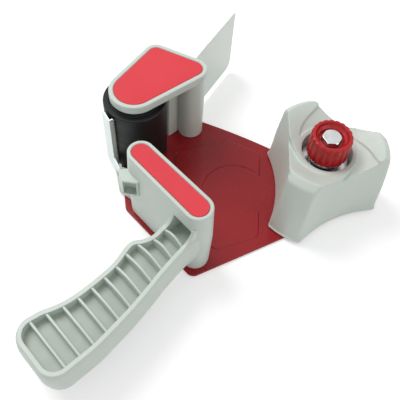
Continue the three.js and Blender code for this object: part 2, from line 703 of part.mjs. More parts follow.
function grip() {
  const inner = gripOutline(GRIP_LENGTH - GRIP_END_WALL);
  const upper = GRIP_TOP - PARTING_LAND - GRIP_PARTING;
  const lower = GRIP_PARTING - GRIP_BOTTOM;
  const lowerWall = GRIP_WALL + GRIP_BOTTOM_DRAW - GRIP_BULGE;
  const wholeUpper = gripHalf(GRIP_BULGE, upper).translate(0, 0, GRIP_PARTING);
  const wholeLower = gripHalf(GRIP_BOTTOM_DRAW, lower).translate(0, 0, GRIP_PARTING);
  const shell = cut(
    join(
      common(wholeUpper, slab(GRIP_PARTING, GRIP_TOP)),
      common(wholeLower, slab(GRIP_BOTTOM, GRIP_PARTING + PARTING_LAND)),
    ),
    prism(outline(inset(inner, GRIP_WALL)), WEB_TOP, GRIP_TOP + OVERRUN),
    prism(outline(inset(inner, lowerWall)), GRIP_BOTTOM - OVERRUN, WEB_BOTTOM),
  );
  const gusset = common(crossways(gussetProfile, -GRIP_WIDTH, GRIP_WIDTH),
    prism(outline(gripOutline()), WEB_TOP, BLOCK_TOP));
  return join(shell, gusset);
}

// The inner width of the grip at each rib, found from its outline.
function gripSpan(y) {
  const edge = inset(gripOutline(), GRIP_WALL);
  const crossings = edge.flatMap(([x, startY], i) => {
    const [nextX, endY] = edge[(i + 1) % edge.length];
    const between = (startY - y) * (endY - y) < 0;
    return between ? [x + ((y - startY) / (endY - startY)) * (nextX - x)] : [];
  });
  return [Math.min(...crossings), Math.max(...crossings)];
}

const ribPitch = (GRIP_LENGTH - RIB_FIRST - RIB_LAST) / (RIB_COUNT - 1);
function rib(number) {
  const y = -RIB_FIRST - number * ribPitch;
  const [left, right] = gripSpan(y);
  const rise = RIB_CROWN * (1 - (RIB_CROWN_FADE * number) / (RIB_COUNT - 1));
  const crown = Array.from({ length: ROUND_STEPS + 1 }, (_, i) => {
    const share = 1 - i / ROUND_STEPS;
    return [left + share * (right - left), GRIP_TOP - RIB_SINK + rise * Math.sin(share * Math.PI)];
  });
  const profile = [
    [left - RIB_KEY, GRIP_BOTTOM + RIB_SINK],
    [right + RIB_KEY, GRIP_BOTTOM + RIB_SINK],
    [right + RIB_KEY, GRIP_TOP - RIB_SINK],
    ...crown,
    [left - RIB_KEY, GRIP_TOP - RIB_SINK],
  ];
  return lengthways(profile, y - RIB_THICKNESS * HALF, y + RIB_THICKNESS * HALF);
}

const intoHandle = (geometry) => geometry.applyMatrix4(handlePlace.clone().invert());

function handle() {
  const block = drafted(hull(blockCircles), SEAT_GAP, BLOCK_TOP);
  const throat = crossways(throatProfile, THROAT_LEFT, THROAT_RIGHT);
  const ribs = Array.from({ length: RIB_COUNT }, (_, number) => rib(number));
  const carrier = [
    prism(hull(carrierCorners), SEAT_GAP, CARRIER_TOP),
    prism(hull(ledgeCorners), SEAT_GAP, LEDGE_TOP),
    prism(hull(bracketCorners), BRACKET_BOTTOM, BRACKET_TOP),
  ].map(intoHandle);
  const opening = new THREE.BoxGeometry(WINDOW_WIDTH, 2 * WINDOW_DEPTH, WINDOW_TOP - WINDOW_BOTTOM)
    .rotateZ(WINDOW_TURN * DEG)
    .translate(WINDOW_X, WINDOW_Y, (WINDOW_TOP + WINDOW_BOTTOM) * HALF);
  const posts = [[0, 0], [-BLOCK_LENGTH, 0]];
  const shaped = cut(
    join(cut(join(block, grip()), throat), ...ribs, ...carrier),
    prism(hull(blockTopCircles, -BLOCK_RIM), BLOCK_TOP - LABEL_RECESS, BLOCK_TOP + OVERRUN),
    ...posts.map(([x, y]) => screwHole(-OVERRUN).translate(x, y, 0)),
    intoHandle(opening),
    ...bladeSheets(2 * SEAT_GAP).map(intoHandle),
  );
  return toGeometry(shaped).applyMatrix4(handlePlace);
}

// Blade: a leaf beside the roller, a toothed edge turned in to it and a tab along the foot
const bladeReach = ROLLER_RADIUS + BLADE_CLEARANCE;
const bladePost = [
  ROLLER_X + bladeReach * Math.cos(BLADE_ANGLE * DEG),
  ROLLER_Y + bladeReach * Math.sin(BLADE_ANGLE * DEG),
];

function upright(turn, points, thickness) {
  const geometry = new THREE.ExtrudeGeometry(outline(points), { depth: thickness, bevelEnabled: false });
  return geometry.rotateX(Math.PI * HALF).translate(0, thickness * HALF, 0)
    .rotateZ(turn * DEG).translate(...bladePost, 0);
}

function bladeSheets(extra = 0) {
  const thickness = BLADE_THICKNESS + extra;
  const leafBottom = BLADE_BOTTOM - LEAF_DROP;
  const leaf = [[0, leafBottom], [LEAF_WIDTH, leafBottom], [LEAF_WIDTH, BLADE_TOP], [0, BLADE_TOP]];
  const pitch = (BLADE_TOP - BLADE_BOTTOM) / TOOTH_COUNT;
  const teeth = Array.from({ length: TOOTH_COUNT }, (_, i) => [
    [TOOTHED_WIDTH - TOOTH_DEPTH, BLADE_BOTTOM + i * pitch],
    [TOOTHED_WIDTH, BLADE_BOTTOM + (i + HALF) * pitch],
  ]).flat();
  const toothed = [[0, BLADE_BOTTOM], ...teeth, [TOOTHED_WIDTH - TOOTH_DEPTH, BLADE_TOP], [0, BLADE_TOP]];
  const tab = [
    [0, BLADE_BOTTOM - extra],
    [TAB_LENGTH + extra, BLADE_BOTTOM - extra],
    [TAB_LENGTH + extra, TAB_TOP + extra],
    [0, TAB_TOP + extra],
  ];
  return [
    upright(LEAF_TURN, leaf, thickness),
    upright(TOOTHED_TURN, toothed, thickness),
    upright(TAB_TURN, tab, thickness),
    rod(thickness * HALF, BLADE_BOTTOM, BLADE_TOP, SMALL_SIDES).translate(...bladePost, 0),
  ];
}

addPiece('handle', handle(), greyPlastic);
const blockLabel = labelPlate(blockTopCircles, BLOCK_RIM, BLOCK_TOP);
addPiece('handle_label', toGeometry(toSolid(blockLabel)).applyMatrix4(handlePlace), redLabel);
addPiece('cutter_blade', join(...bladeSheets()), zincSteel);

// Hub: three lobes between hollowed sides, with a swirl of ramps round the recess
const recessFloor = HUB_TOP - HUB_RECESS_DEPTH;
const hubHeight = (share) => HUB_BOTTOM + share * (HUB_TOP - HUB_BOTTOM);

function hubRing(radius, height, shrink = 0) {
  const share = (height - HUB_BOTTOM) / (HUB_TOP - HUB_BOTTOM);
  const sideRadius = HUB_SIDE_RADIUS_LOW + share * (HUB_SIDE_RADIUS_HIGH - HUB_SIDE_RADIUS_LOW);
  const sideCentre = HUB_WAIST + sideRadius;
  return hubLobes.flatMap((lobe) => hubSector.map((offset) => {
    const angle = (LOBE_ANGLE * HALF - Math.abs(offset)) * DEG;
    const across = sideCentre * Math.sin(angle);
    const inside = sideRadius ** 2 - across ** 2;
    const side = inside > 0 ? sideCentre * Math.cos(angle) - Math.sqrt(inside) : 2 * radius;
    const blend = Math.max(HUB_CORNER_BLEND - Math.abs(radius - side), 0);
    const reach = Math.min(radius, side) - (blend * blend) / (4 * HUB_CORNER_BLEND) - shrink;
    const turn = (HUB_TURN + LOBE_ANGLE * lobe + offset) * DEG;
    return [reach * Math.cos(turn), reach * Math.sin(turn), height];
  }));
}

function rampCutter(number) {
  const turn = HUB_TURN + RAMP_START + LOBE_ANGLE * number;
  const points = rampOutline.map(([radius, angle]) => {
    const at = (turn + angle) * DEG;
    return [radius * Math.cos(at), radius * Math.sin(at)];
  });
  const slope = Math.tan(RAMP_SLOPE * DEG);
  const upward = (turn + RAMP_TURN) * DEG;
  const lean = new THREE.Matrix4().makeShear(0, slope * Math.cos(upward), 0, slope * Math.sin(upward), 0, 0);
  return prism(outline(points.reverse()), 0, HUB_TOP)
    .applyMatrix4(lean)
    .translate(0, 0, HUB_TOP - RAMP_DROP_AT_AXIS);
}

function hub() {
  const body = lofted(hubProfile.map(([radius, share]) => hubRing(radius, hubHeight(share))));
  const pocketProfile = [
    [HUB_POCKET_RADIUS_LOW, HUB_BOTTOM - OVERRUN],
    [HUB_POCKET_RADIUS_LOW, HUB_BOTTOM],
    [HUB_POCKET_RADIUS_HIGH, HUB_TOP - HUB_CROWN_WALL],
  ];
  const pockets = cut(
    lofted(pocketProfile.map(([radius, height]) => hubRing(radius, height, HUB_WALL))),
    rod(HUB_POCKET_INNER, -2 * OVERRUN, HUB_TOP, LARGE_SIDES),
  );
  return cut(
    body,
    pockets,
    ring(HUB_BOSS_RADIUS, HUB_UNDER_RADIUS, -OVERRUN, recessFloor - HUB_FLOOR_THICKNESS, LARGE_SIDES),
    rod(HUB_BOSS_RADIUS + OVERRUN, -OVERRUN, HUB_BOSS_BOTTOM),
    rod(HUB_RECESS_RADIUS, recessFloor, HUB_TOP + OVERRUN, LARGE_SIDES),
    rod(SPINDLE_RADIUS + RUNNING_GAP, -OVERRUN, HUB_TOP),
    ...hubLobes.map(rampCutter),
  );
}
addPiece('hub', hub(), greyPlastic);

// Spindle: a flanged tube set in the side plate, threaded inside for the bolt
const spindleTop = recessFloor - SPINDLE_DROP;
addPiece('hub_spindle', turned([
  [BOLT_RADIUS + SEAT_GAP, -PLATE_THICKNESS + SPINDLE_RECESS],
  [SPINDLE_COLLAR_RADIUS, -PLATE_THICKNESS + SPINDLE_RECESS],
  [SPINDLE_COLLAR_RADIUS, SEAT_GAP],
  [SPINDLE_FLANGE_RADIUS, SEAT_GAP],
  [SPINDLE_FLANGE_RADIUS, SEAT_GAP + BRAKE_WASHER_THICKNESS],
  [SPINDLE_RADIUS, SEAT_GAP + BRAKE_WASHER_THICKNESS],
  [SPINDLE_RADIUS, spindleTop],
  [BOLT_RADIUS + SEAT_GAP, spindleTop],
]), zincSteel);

// Washers below and above the hub
addPiece('brake_washer', ring(
  SPINDLE_FLANGE_RADIUS + SEAT_GAP, BRAKE_WASHER_RADIUS, SEAT_GAP, SEAT_GAP + BRAKE_WASHER_THICKNESS,
), brownFibre);
const pressureTop = recessFloor + SEAT_GAP + PRESSURE_WASHER_THICKNESS;
addPiece('pressure_washer', ring(
  BOLT_RADIUS + SEAT_GAP, PRESSURE_WASHER_RADIUS, recessFloor + SEAT_GAP, pressureTop,
), zincSteel);

// Spring between the pressure washer and the washer in the knob
const knobTop = HUB_TOP + KNOB_RISE;
const knobBottom = knobTop - KNOB_HEIGHT;
const knobWasherTop = knobBottom + KNOB_UNDER_DEPTH - SEAT_GAP;
const knobWasherBottom = knobWasherTop - KNOB_WASHER_THICKNESS;
function tensionSpring() {
  const wire = SPRING_WIRE * HALF;
  const bottom = pressureTop + SEAT_GAP + wire;
  const top = knobWasherBottom - SEAT_GAP - wire;
  const steps = SPRING_TURNS * SPRING_STEPS;
  const pitch = (top - bottom) / SPRING_TURNS;
  const centres = Array.from({ length: steps + 1 }, (_, i) => {
    const angle = (i / SPRING_STEPS) * 2 * Math.PI;
    return new THREE.Vector3(
      SPRING_RADIUS * Math.cos(angle),
      SPRING_RADIUS * Math.sin(angle),
      bottom + (i / SPRING_STEPS) * pitch,
    );
  });
  const rings = centres.map((centre) => {
    const outward = new THREE.Vector3(centre.x, centre.y, 0).normalize();
    return Array.from({ length: SPRING_SIDES }, (_, side) => {
      const angle = (side / SPRING_SIDES) * 2 * Math.PI;
      return centre.clone()
        .addScaledVector(outward, wire * Math.cos(angle))
        .add(new THREE.Vector3(0, 0, wire * Math.sin(angle)))
        .toArray();
    });
  });
  const apart = rings.flatMap((points, i) => rings
    .slice(i + SPRING_STEPS * HALF)
    .flatMap((others) => points.flatMap((point) => others.map((other) =>
      Math.hypot(point[0] - other[0], point[1] - other[1], point[2] - other[2])))));
  console.log(`least gap between turns of the spring: ${Math.min(...apart).toFixed(2)} mm`);
  return lofted(rings.reverse());
}
addPiece('tension_spring', tensionSpring(), zincSteel);

// Knob with the bolt head held in its dish, and the washer under it
addPiece('knob_washer', ring(
  BOLT_RADIUS + SEAT_GAP, KNOB_WASHER_RADIUS, knobWasherBottom, knobWasherTop,
), zincSteel);

const boltTop = knobTop - BOLT_DROP;
const boltHeadRadius = BOLT_HEAD_FLATS * HALF / Math.cos(Math.PI / DRIVE_SIDES);
function tensionKnob() {
  const count = KNOB_FLUTES * KNOB_FLUTE_STEPS;
  const edge = Array.from({ length: count }, (_, i) => {
    const angle = (i / count) * 2 * Math.PI;
    const dip = Math.max(0, -Math.cos(KNOB_FLUTES * angle)) * KNOB_FLUTE_DEPTH;
    return [(KNOB_RADIUS - dip) * Math.cos(angle), (KNOB_RADIUS - dip) * Math.sin(angle)];
  });
  const dishFloor = knobTop - KNOB_DISH_DEPTH;
  return cut(
    bevelled(outline(edge), knobBottom, knobTop, KNOB_CHAMFER, KNOB_CHAMFER),
    rod(KNOB_RADIUS - KNOB_RIM, dishFloor, knobTop + OVERRUN),
    rod(KNOB_UNDER_RADIUS, knobBottom - OVERRUN, knobBottom + KNOB_UNDER_DEPTH),
    rod(BOLT_RADIUS + SEAT_GAP, knobBottom, knobTop, SMALL_SIDES),
    rod(boltHeadRadius + SEAT_GAP, boltTop - BOLT_HEAD_HEIGHT - SEAT_GAP, knobTop, DRIVE_SIDES),
  );
}
addPiece('tension_knob', tensionKnob(), redPlastic);

function hubBolt() {
  const headBottom = boltTop - BOLT_HEAD_HEIGHT;
  const crown = turned([
    [0, BOLT_BOTTOM],
    [boltHeadRadius, BOLT_BOTTOM],
    [boltHeadRadius, boltTop - BOLT_CHAMFER],
    [boltHeadRadius - 2 * BOLT_CHAMFER, boltTop],
    [0, boltTop],
  ], SMALL_SIDES);
  const head = common(rod(boltHeadRadius, headBottom, boltTop, DRIVE_SIDES), crown);
  return join(head, rod(BOLT_RADIUS, BOLT_BOTTOM, headBottom + BOLT_CHAMFER, SMALL_SIDES));
}
addPiece('hub_bolt', hubBolt(), zincSteel);

// The whole stands on its underside with the middle of its footprint at the origin
const bounds = new THREE.Box3().setFromObject(root);
const middle = bounds.getCenter(new THREE.Vector3());
root.position.set(-middle.x, -middle.y, -bounds.min.z);

export default root;
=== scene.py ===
# Hand-held packing tape dispenser, lying on its side plate on a pale floor.
# Sizes are in millimetres from the hub's axis and the inner face of the side plate.
import json
import math

import bmesh
import bpy
from mathutils import Matrix, Vector


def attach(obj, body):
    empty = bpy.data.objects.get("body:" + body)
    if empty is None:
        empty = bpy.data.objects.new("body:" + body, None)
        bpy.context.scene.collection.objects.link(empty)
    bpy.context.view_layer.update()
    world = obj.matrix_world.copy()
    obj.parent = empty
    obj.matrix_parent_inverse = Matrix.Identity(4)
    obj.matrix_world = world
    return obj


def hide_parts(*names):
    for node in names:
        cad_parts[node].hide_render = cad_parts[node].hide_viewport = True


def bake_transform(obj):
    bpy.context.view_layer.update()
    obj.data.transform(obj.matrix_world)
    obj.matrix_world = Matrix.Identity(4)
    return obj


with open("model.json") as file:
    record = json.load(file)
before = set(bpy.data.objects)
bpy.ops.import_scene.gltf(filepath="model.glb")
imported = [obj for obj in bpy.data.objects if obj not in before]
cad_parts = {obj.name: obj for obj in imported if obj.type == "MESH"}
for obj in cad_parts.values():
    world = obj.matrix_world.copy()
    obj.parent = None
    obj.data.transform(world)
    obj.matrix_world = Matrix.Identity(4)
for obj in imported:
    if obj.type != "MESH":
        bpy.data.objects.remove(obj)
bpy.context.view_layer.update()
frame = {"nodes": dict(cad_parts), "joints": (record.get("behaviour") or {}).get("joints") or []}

# Side plate: pressed sheet steel with a raised panel and a round dish in it, enamelled
# dark red all over. The enamel softens its edges, and four screws come up through it.
MM = 0.001
OVERRUN = 5.0
PLATE_THICKNESS = 1.5
PLATE_EDGE = 0.4
PRESS_DEPTH = 0.7
PRESS_SLOPE = 1.2
DISH_PLACE = (-49.1, -5.2)
DISH_RADIUS = 21.3
SPINDLE_HOLE_RADIUS = 5.7
SCREW_HOLE_RADIUS = 2.05
SINK_RADIUS = 3.7
SINK_LOW = -1.35
SINK_HIGH = -0.25
LONGEST_FACET = 4.0
hub_axis = next(joint for joint in frame["joints"] if joint["name"] == "hub_spin")["pos_m"]
ORIGIN = Vector((hub_axis[0], hub_axis[1], PLATE_THICKNESS * MM))


def hull(circles, grow=0.0, step=5.0):
    """The outline round circles of (x, y, radius), counter-clockwise, moved out by grow."""
    normals = []
    for i, (x, y, radius) in enumerate(circles):
        next_x, next_y, next_radius = circles[(i + 1) % len(circles)]
        share = (radius - next_radius) / math.hypot(next_x - x, next_y - y)
        normals.append(math.atan2(next_y - y, next_x - x) - math.acos(max(-1.0, min(share, 1.0))))
    points = []
    for i, (x, y, radius) in enumerate(circles):
        start = normals[i - 1]
        sweep = (normals[i] - start) % (2 * math.pi)
        steps = max(2, math.ceil(math.degrees(sweep) / step), math.ceil(radius * sweep / LONGEST_FACET))
        reach = radius + grow
        for k in range(steps + 1):
            angle = start + sweep * k / steps
            points.append((x + reach * math.cos(angle), y + reach * math.sin(angle)))
    return points


def round_over(start, end, first, steps=4):
    """A quarter turn between two (offset, height) points, going off along the offset or the height."""
    path = []
    for k in range(1, steps + 1):
        angle = math.pi / 2 * k / steps
        early, late = 1 - math.cos(angle), math.sin(angle)
        across, up = (early, late) if first == "up" else (late, early)
        path.append((start[0] + (end[0] - start[0]) * across, start[1] + (end[1] - start[1]) * up))
    return path


def skin(name, rings, loop=False, place=None):
    """A closed skin over rings of points, ended by flat faces, or joined to itself where it loops."""
    size = len(rings[0])
    shape = bmesh.new()
    corners = []
    for ring in rings:
        for point in ring:
            corners.append(shape.verts.new(ORIGIN + Vector(place(*point) if place else point) * MM))
    for level in range(len(rings) if loop else len(rings) - 1):
        low, high = level * size, (level + 1) % len(rings) * size
        for i in range(size):
            k = (i + 1) % size
            shape.faces.new((corners[low + i], corners[low + k], corners[high + k], corners[high + i]))
    if not loop:
        shape.faces.new(corners[:size][::-1])
        shape.faces.new(corners[-size:])
    bmesh.ops.remove_doubles(shape, verts=shape.verts, dist=0.001 * MM)
    bmesh.ops.recalc_face_normals(shape, faces=shape.faces)
    mesh = bpy.data.meshes.new(name)
    shape.to_mesh(mesh)
    shape.free()
    piece = bpy.data.objects.new(name, mesh)
    bpy.context.scene.collection.objects.link(piece)
    return piece


def moulded(name, circles, profile, step=5.0, place=None):
    """The outline round some circles, lofted through (offset, height) steps."""
    rings = [[(x, y, z) for x, y in hull(circles, grow, step)] for grow, z in profile]
    return skin(name, rings, place=place)


def turned(name, profile, sides=96, place=(0.0, 0.0), loop=True):
    """A turned piece from (radius, height) steps, as a ring, or with flat ends where it isn't a loop."""
    rings = []
    for radius, z in profile:
        turns = [2 * math.pi * k / sides for k in range(sides)]
        rings.append([(place[0] + radius * math.cos(a), place[1] + radius * math.sin(a), z) for a in turns])
    return skin(name, rings, loop)


def rod(name, radius, low, high, sides=96, place=(0.0, 0.0)):
    """A round bar from one height to another."""
    return turned(name, [(radius, low), (radius, high)], sides, place, loop=False)


def settle(shape):
    """Works the shape's modifiers into its mesh."""
    view = bpy.context.evaluated_depsgraph_get()
    mesh = bpy.data.meshes.new_from_object(shape.evaluated_get(view))
    shape.modifiers.clear()
    shape.data = mesh


def combine(shape, others, operation):
    """Adds others to the shape, cuts them out of it or keeps what they share."""
    for other in others:
        boolean = shape.modifiers.new("boolean", "BOOLEAN")
        boolean.operation = operation
        boolean.solver = "MANIFOLD"
        boolean.object = other
        bpy.context.view_layer.update()
        settle(shape)
        bpy.data.objects.remove(other)


def finished(shape, finish, body, slot, *nodes, sharp=32.0):
    """Gives a shape its finish and its smooth shading, and sets it on its body in place of its solids."""
    shape.data.materials.clear()
    shape.data.materials.append(finish.material)
    shape.data.shade_smooth()
    shape.data.set_sharp_from_angle(angle=math.radians(sharp))
    weighted = shape.modifiers.new("flats", "WEIGHTED_NORMAL")
    weighted.keep_sharp = True
    if body:
        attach(shape, body)
    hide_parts(*nodes)


def coated(finish, *names):
    """Gives the solids of these names a finish."""
    for name in names:
        solid = frame["nodes"][name]
        solid.data.materials.clear()
        solid.data.materials.append(finish.material)


class Signal:
    """A node's output that can be reckoned with."""

    def __init__(self, nodes, socket):
        self.nodes, self.socket = nodes, socket

    def __sub__(self, other):
        return self.nodes.maths("SUBTRACT", self, other)

    def __rsub__(self, other):
        return self.nodes.maths("SUBTRACT", other, self)

    def __mul__(self, other):
        return self.nodes.maths("MULTIPLY", self, other)

    def __rmul__(self, other):
        return self.nodes.maths("MULTIPLY", other, self)


class Nodes:
    """The shader nodes of a finish or of the world, with the numbers of a Mix node's colours."""

    FIRST_COLOUR, SECOND_COLOUR, MIXED_COLOUR = 6, 7, 2

    def __init__(self, tree):
        self.tree = tree

    def feed(self, socket, value):
        """Sets a socket to a value, or links a signal to it."""
        if isinstance(value, Signal):
            self.tree.links.new(value.socket, socket)
        elif isinstance(value, tuple) and socket.type == "RGBA":
            socket.default_value = (*value, 1.0)
        else:
            socket.default_value = value

    def node(self, kind, values=None, output=0, **settings):
        """A new node, which gets its settings first and then what its sockets hold or take in."""
        made = self.tree.nodes.new(kind)
        for key, value in settings.items():
            setattr(made, key, value)
        for key, value in (values or {}).items():
            self.feed(made.inputs[key], value)
        return Signal(self, made.outputs[output])

    def maths(self, operation, first, second):
        return self.node("ShaderNodeMath", {0: first, 1: second}, operation=operation)

    def span(self, value, low, high, to_low=0.0, to_high=1.0):
        """A value between low and high, carried to between two others."""
        values = {"Value": value, "From Min": low, "From Max": high, "To Min": to_low, "To Max": to_high}
        return self.node("ShaderNodeMapRange", values, "Result")

    def blend(self, share, first, second):
        """A colour between two, by a share of 0 to 1."""
        values = {"Factor": share, self.FIRST_COLOUR: first, self.SECOND_COLOUR: second}
        return self.node("ShaderNodeMix", values, self.MIXED_COLOUR, data_type="RGBA")

    def seen(self):
        """1 for a ray that comes from the camera, straight or by way of metal or glass, and else 0."""
        rays = ("Is Camera Ray", "Is Glossy Ray", "Is Transmission Ray")
        camera, glossy, passed = (self.node("ShaderNodeLightPath", output=ray) for ray in rays)
        return self.maths("MAXIMUM", self.maths("MAXIMUM", camera, glossy), passed)


class Finish(Nodes):
    """A material on the Principled shader, with the nodes that vary it over the surface."""

    def __init__(self, name, roughness, metallic=0.0, **constants):
        self.material = bpy.data.materials.new(name)
        self.material.use_nodes = True
        super().__init__(self.material.node_tree)
        self.shader = self.tree.nodes["Principled BSDF"]
        self.show("Roughness", roughness)
        self.show("Metallic", metallic)
        for socket, value in constants.items():
            self.show(socket.replace("_", " "), value)
        self.place = self.node("ShaderNodeTexCoord", output="Object")

    def show(self, socket, value):
        self.feed(self.shader.inputs[socket], value)

    def noise(self, scale, detail=2.0, stretch=(1.0, 1.0, 1.0)):
        place = self.node("ShaderNodeMapping", {"Vector": self.place, "Scale": stretch})
        return self.node("ShaderNodeTexNoise", {"Vector": place, "Scale": scale, "Detail": detail}, "Fac")

    def two_tone(self, share, first, second):
        """Varies the colour between two by a share of 0 to 1."""
        self.show("Base Color", self.blend(share, first, second))

    def patches(self, share, low, high):
        """Varies the roughness between two values by the middle of a noise."""
        self.show("Roughness", self.span(share, 0.3, 0.7, low, high))

    def bump(self, height, depth, edge=0.0):
        """Raises the surface by a height of 0 to 1 times the depth, over edges rounded to a radius."""
        values = {"Height": height, "Distance": depth * MM}
        if edge:
            values["Normal"] = self.node("ShaderNodeBevel", {"Radius": edge * MM}, samples=4)
        self.show("Normal", self.node("ShaderNodeBump", values, "Normal"))


def colour(red, green, blue):
    """A display colour of 0 to 255 as the linear value that the shader takes."""
    shares = [value / 255 for value in (red, green, blue)]
    return tuple(v / 12.92 if v <= 0.04045 else ((v + 0.055) / 1.055) ** 2.4 for v in shares)


enamel = Finish("dark_red_enamel", 0.3, Specular_IOR_Level=0.25, Coat_Weight=0.12, Coat_Roughness=0.1)
enamel.two_tone(enamel.noise(18, 3), colour(146, 26, 32), colour(158, 32, 38))
enamel.patches(enamel.noise(70, 4), 0.2, 0.32)
enamel.bump(enamel.noise(420), 0.012)

screw_places = {
    "handle_screw_near": (-70.7, -52.8),
    "handle_screw_far": (-103.96, -21.02),
    "arm_screw": (-81.3, 43.4),
    "axle_screw": (-113.5, 23.0),
}
wide_arc = (-195.614, -330.516, 400)
plate_circles = [(1, -3, 18), wide_arc, (-81.3, 43.4, 9), (-113.5, 23, 12), (-109.6, -21.2, 6.3),
                 (-70.8, -60.3, 4.8)]
panel_circles = [(-38, 24, 5), (-55, 31, 5), (-84, 20, 5), (-84, -18, 5), (-58, -42.5, 5), (-38, -33, 5)]


def press_step(low, high):
    """The side of a pressed field, from its foot to its brow."""
    middle = (-PRESS_SLOPE / 2, (low + high) / 2)
    foot = round_over((0, low), middle, "across", 3)
    brow = round_over(middle, (-PRESS_SLOPE, high), "up", 3)
    return [(0, low), *foot, *brow]


plate = moulded("plate_sheet", plate_circles, [
    (-PLATE_EDGE, -PLATE_THICKNESS),
    *round_over((-PLATE_EDGE, -PLATE_THICKNESS), (0, -PLATE_THICKNESS + PLATE_EDGE), "across"),
    *round_over((0, -PLATE_EDGE), (-PLATE_EDGE, 0), "up"),
], 3)
panel = moulded("panel", panel_circles, [(0, -PLATE_EDGE), *press_step(0, PRESS_DEPTH)])
under = moulded("panel_under", panel_circles, [
    (0, -PLATE_THICKNESS - OVERRUN),
    *press_step(-PLATE_THICKNESS, -PLATE_THICKNESS + PRESS_DEPTH),
])
dish_middle = (DISH_RADIUS - PRESS_SLOPE / 2, PRESS_DEPTH / 2)
dish = turned("dish", [
    (DISH_RADIUS - PRESS_SLOPE, 0),
    *round_over((DISH_RADIUS - PRESS_SLOPE, 0), dish_middle, "across", 3),
    *round_over(dish_middle, (DISH_RADIUS, PRESS_DEPTH), "up", 3),
    (DISH_RADIUS, OVERRUN),
], 120, DISH_PLACE, loop=False)
sink_profile = [(SINK_RADIUS, -OVERRUN), (SINK_RADIUS, SINK_LOW), (SCREW_HOLE_RADIUS, SINK_HIGH),
                (SCREW_HOLE_RADIUS, OVERRUN)]
sinks = [turned("sink", sink_profile, 48, place, loop=False) for place in screw_places.values()]
spindle_hole = rod("spindle_hole", SPINDLE_HOLE_RADIUS, -OVERRUN, OVERRUN, 72)
combine(plate, [panel], "UNION")
combine(plate, [under, dish, *sinks, spindle_hole], "DIFFERENCE")
finished(plate, enamel, "frame", "painted_steel", "side_plate", sharp=40)

# Screws: four countersunk screws of zinc-plated steel with a six-sided drive, driven up
# through the plate into the block, the column and the roller's axle.
zinc = Finish("zinc_plated_steel", 0.28, 1.0)
zinc_streaks = zinc.noise(260, 3, (1.0, 1.0, 0.12))
zinc.two_tone(zinc_streaks, colour(186, 188, 190), colour(222, 224, 226))
zinc.patches(zinc.noise(90, 4), 0.22, 0.38)
zinc.bump(zinc_streaks, 0.006)
coated(zinc, *screw_places)

# Top arm: one moulding of the cap over the roller, the round column that carries it and
# the wall beside the column, in light grey plastic with a fine grain and soft edges.
SEAT_GAP = 0.3
CAP_TOP = 56.0
CAP_UNDER = 50.4
CAP_RIM = 2.7
CAP_EDGE = 0.8
CAP_LAP = 1.0
LABEL_RECESS = 1.0
RECESS_TAPER = 0.2
RECESS_BRIM = 0.3
COLUMN_RADIUS = 8.2
FOOT_EDGE = 0.4
SCREW_HOLE_TOP = 11.8
AXLE_HOLE_RADIUS = 3.8
AXLE_HOLE_DEPTH = 3.3
SLOT_HALF = 0.9
SLOT_TOP = 49.7
FLAP_STEPS = 14
PAINTED_SHADE_FADE = 1.5
ROLLER_PLACE = screw_places["axle_screw"]
cap_circles = [(-81.3, 43.4, 8.9), (-104.3, 54, 7.4), (*ROLLER_PLACE, 14.9)]
wall_circles = [(-94.8, 36.8, 1.3), (-85, 47.4, 1.3)]
flap_points = [(-84.6, 43.6), (-82.4, 51.5), (-79, 61), (-69.5, 80.5), (-57.8, 104)]


def course(points, steps):
    """A smooth course through points, with the same number of steps between each two."""
    path = []
    for i in range(len(points) - 1):
        before, start, end, after = (
            Vector(points[min(max(i + k, 0), len(points) - 1)]) for k in (-1, 0, 1, 2))
        leave, arrive = (end - before) / 2, (after - start) / 2
        for k in range(steps):
            t = k / steps
            place = (2 * start - 2 * end + leave + arrive) * t ** 3
            place += (3 * end - 3 * start - 2 * leave - arrive) * t ** 2 + leave * t + start
            path.append((place.x, place.y))
    path.append(tuple(points[-1]))
    return path


def headings(path):
    """The direction of a course at each of its points."""
    last = len(path) - 1
    steps = [(path[max(i - 1, 0)], path[min(i + 1, last)]) for i in range(last + 1)]
    return [(Vector(after) - Vector(before)).normalized() for before, after in steps]


def strip(path, half):
    """The outline in plan of a sheet of twice the half thickness along a course."""
    sides = [[(x - side * half * along.y, y + side * half * along.x)
              for (x, y), along in zip(path, headings(path))] for side in (1, -1)]
    return [*sides[0][::-1], *sides[1]]


def prism(name, outline, low, high, place=None):
    """An outline of (x, y) points carried from one height to another."""
    return skin(name, [[(x, y, z) for x, y in outline] for z in (low, high)], place=place)


def label_recess(name, circles, rim, top, step=5.0, place=None):
    """The cutter for the recess of a label, which opens a little and has a soft brim."""
    return moulded(name, circles, [
        (-rim - RECESS_TAPER, top - LABEL_RECESS),
        (-rim, top - RECESS_BRIM),
        (-rim + RECESS_BRIM, top),
        (-rim + RECESS_BRIM, top + OVERRUN),
    ], step, place)


def grey_moulding(name, painted_shade_below=None):
    """The grey plastic, with painted shade that darkens its level floors below a height."""
    made = Finish(name, 0.42)
    tone = made.blend(made.noise(22, 3), colour(203, 213, 205), colour(212, 222, 214))
    if painted_shade_below:
        facing = made.node("ShaderNodeNewGeometry", output="Normal")
        level = made.node("ShaderNodeSeparateXYZ", {"Vector": facing}, "Z")
        height = made.node("ShaderNodeSeparateXYZ", {"Vector": made.place}, "Z")
        start = painted_shade_below + PLATE_THICKNESS
        above = made.span(height, start * MM, (start + PAINTED_SHADE_FADE) * MM)
        # Painted shade: level faces below the height are blended towards a darker grey in place of the shade
        # in the hollows.
        tone = made.blend(made.span(level, 0.7, 0.95) * (1 - above), tone, colour(180, 189, 180))
    made.show("Base Color", tone)
    made.patches(made.noise(140, 3), 0.36, 0.5)
    made.bump(made.noise(1100), 0.012, edge=0.45)
    return made


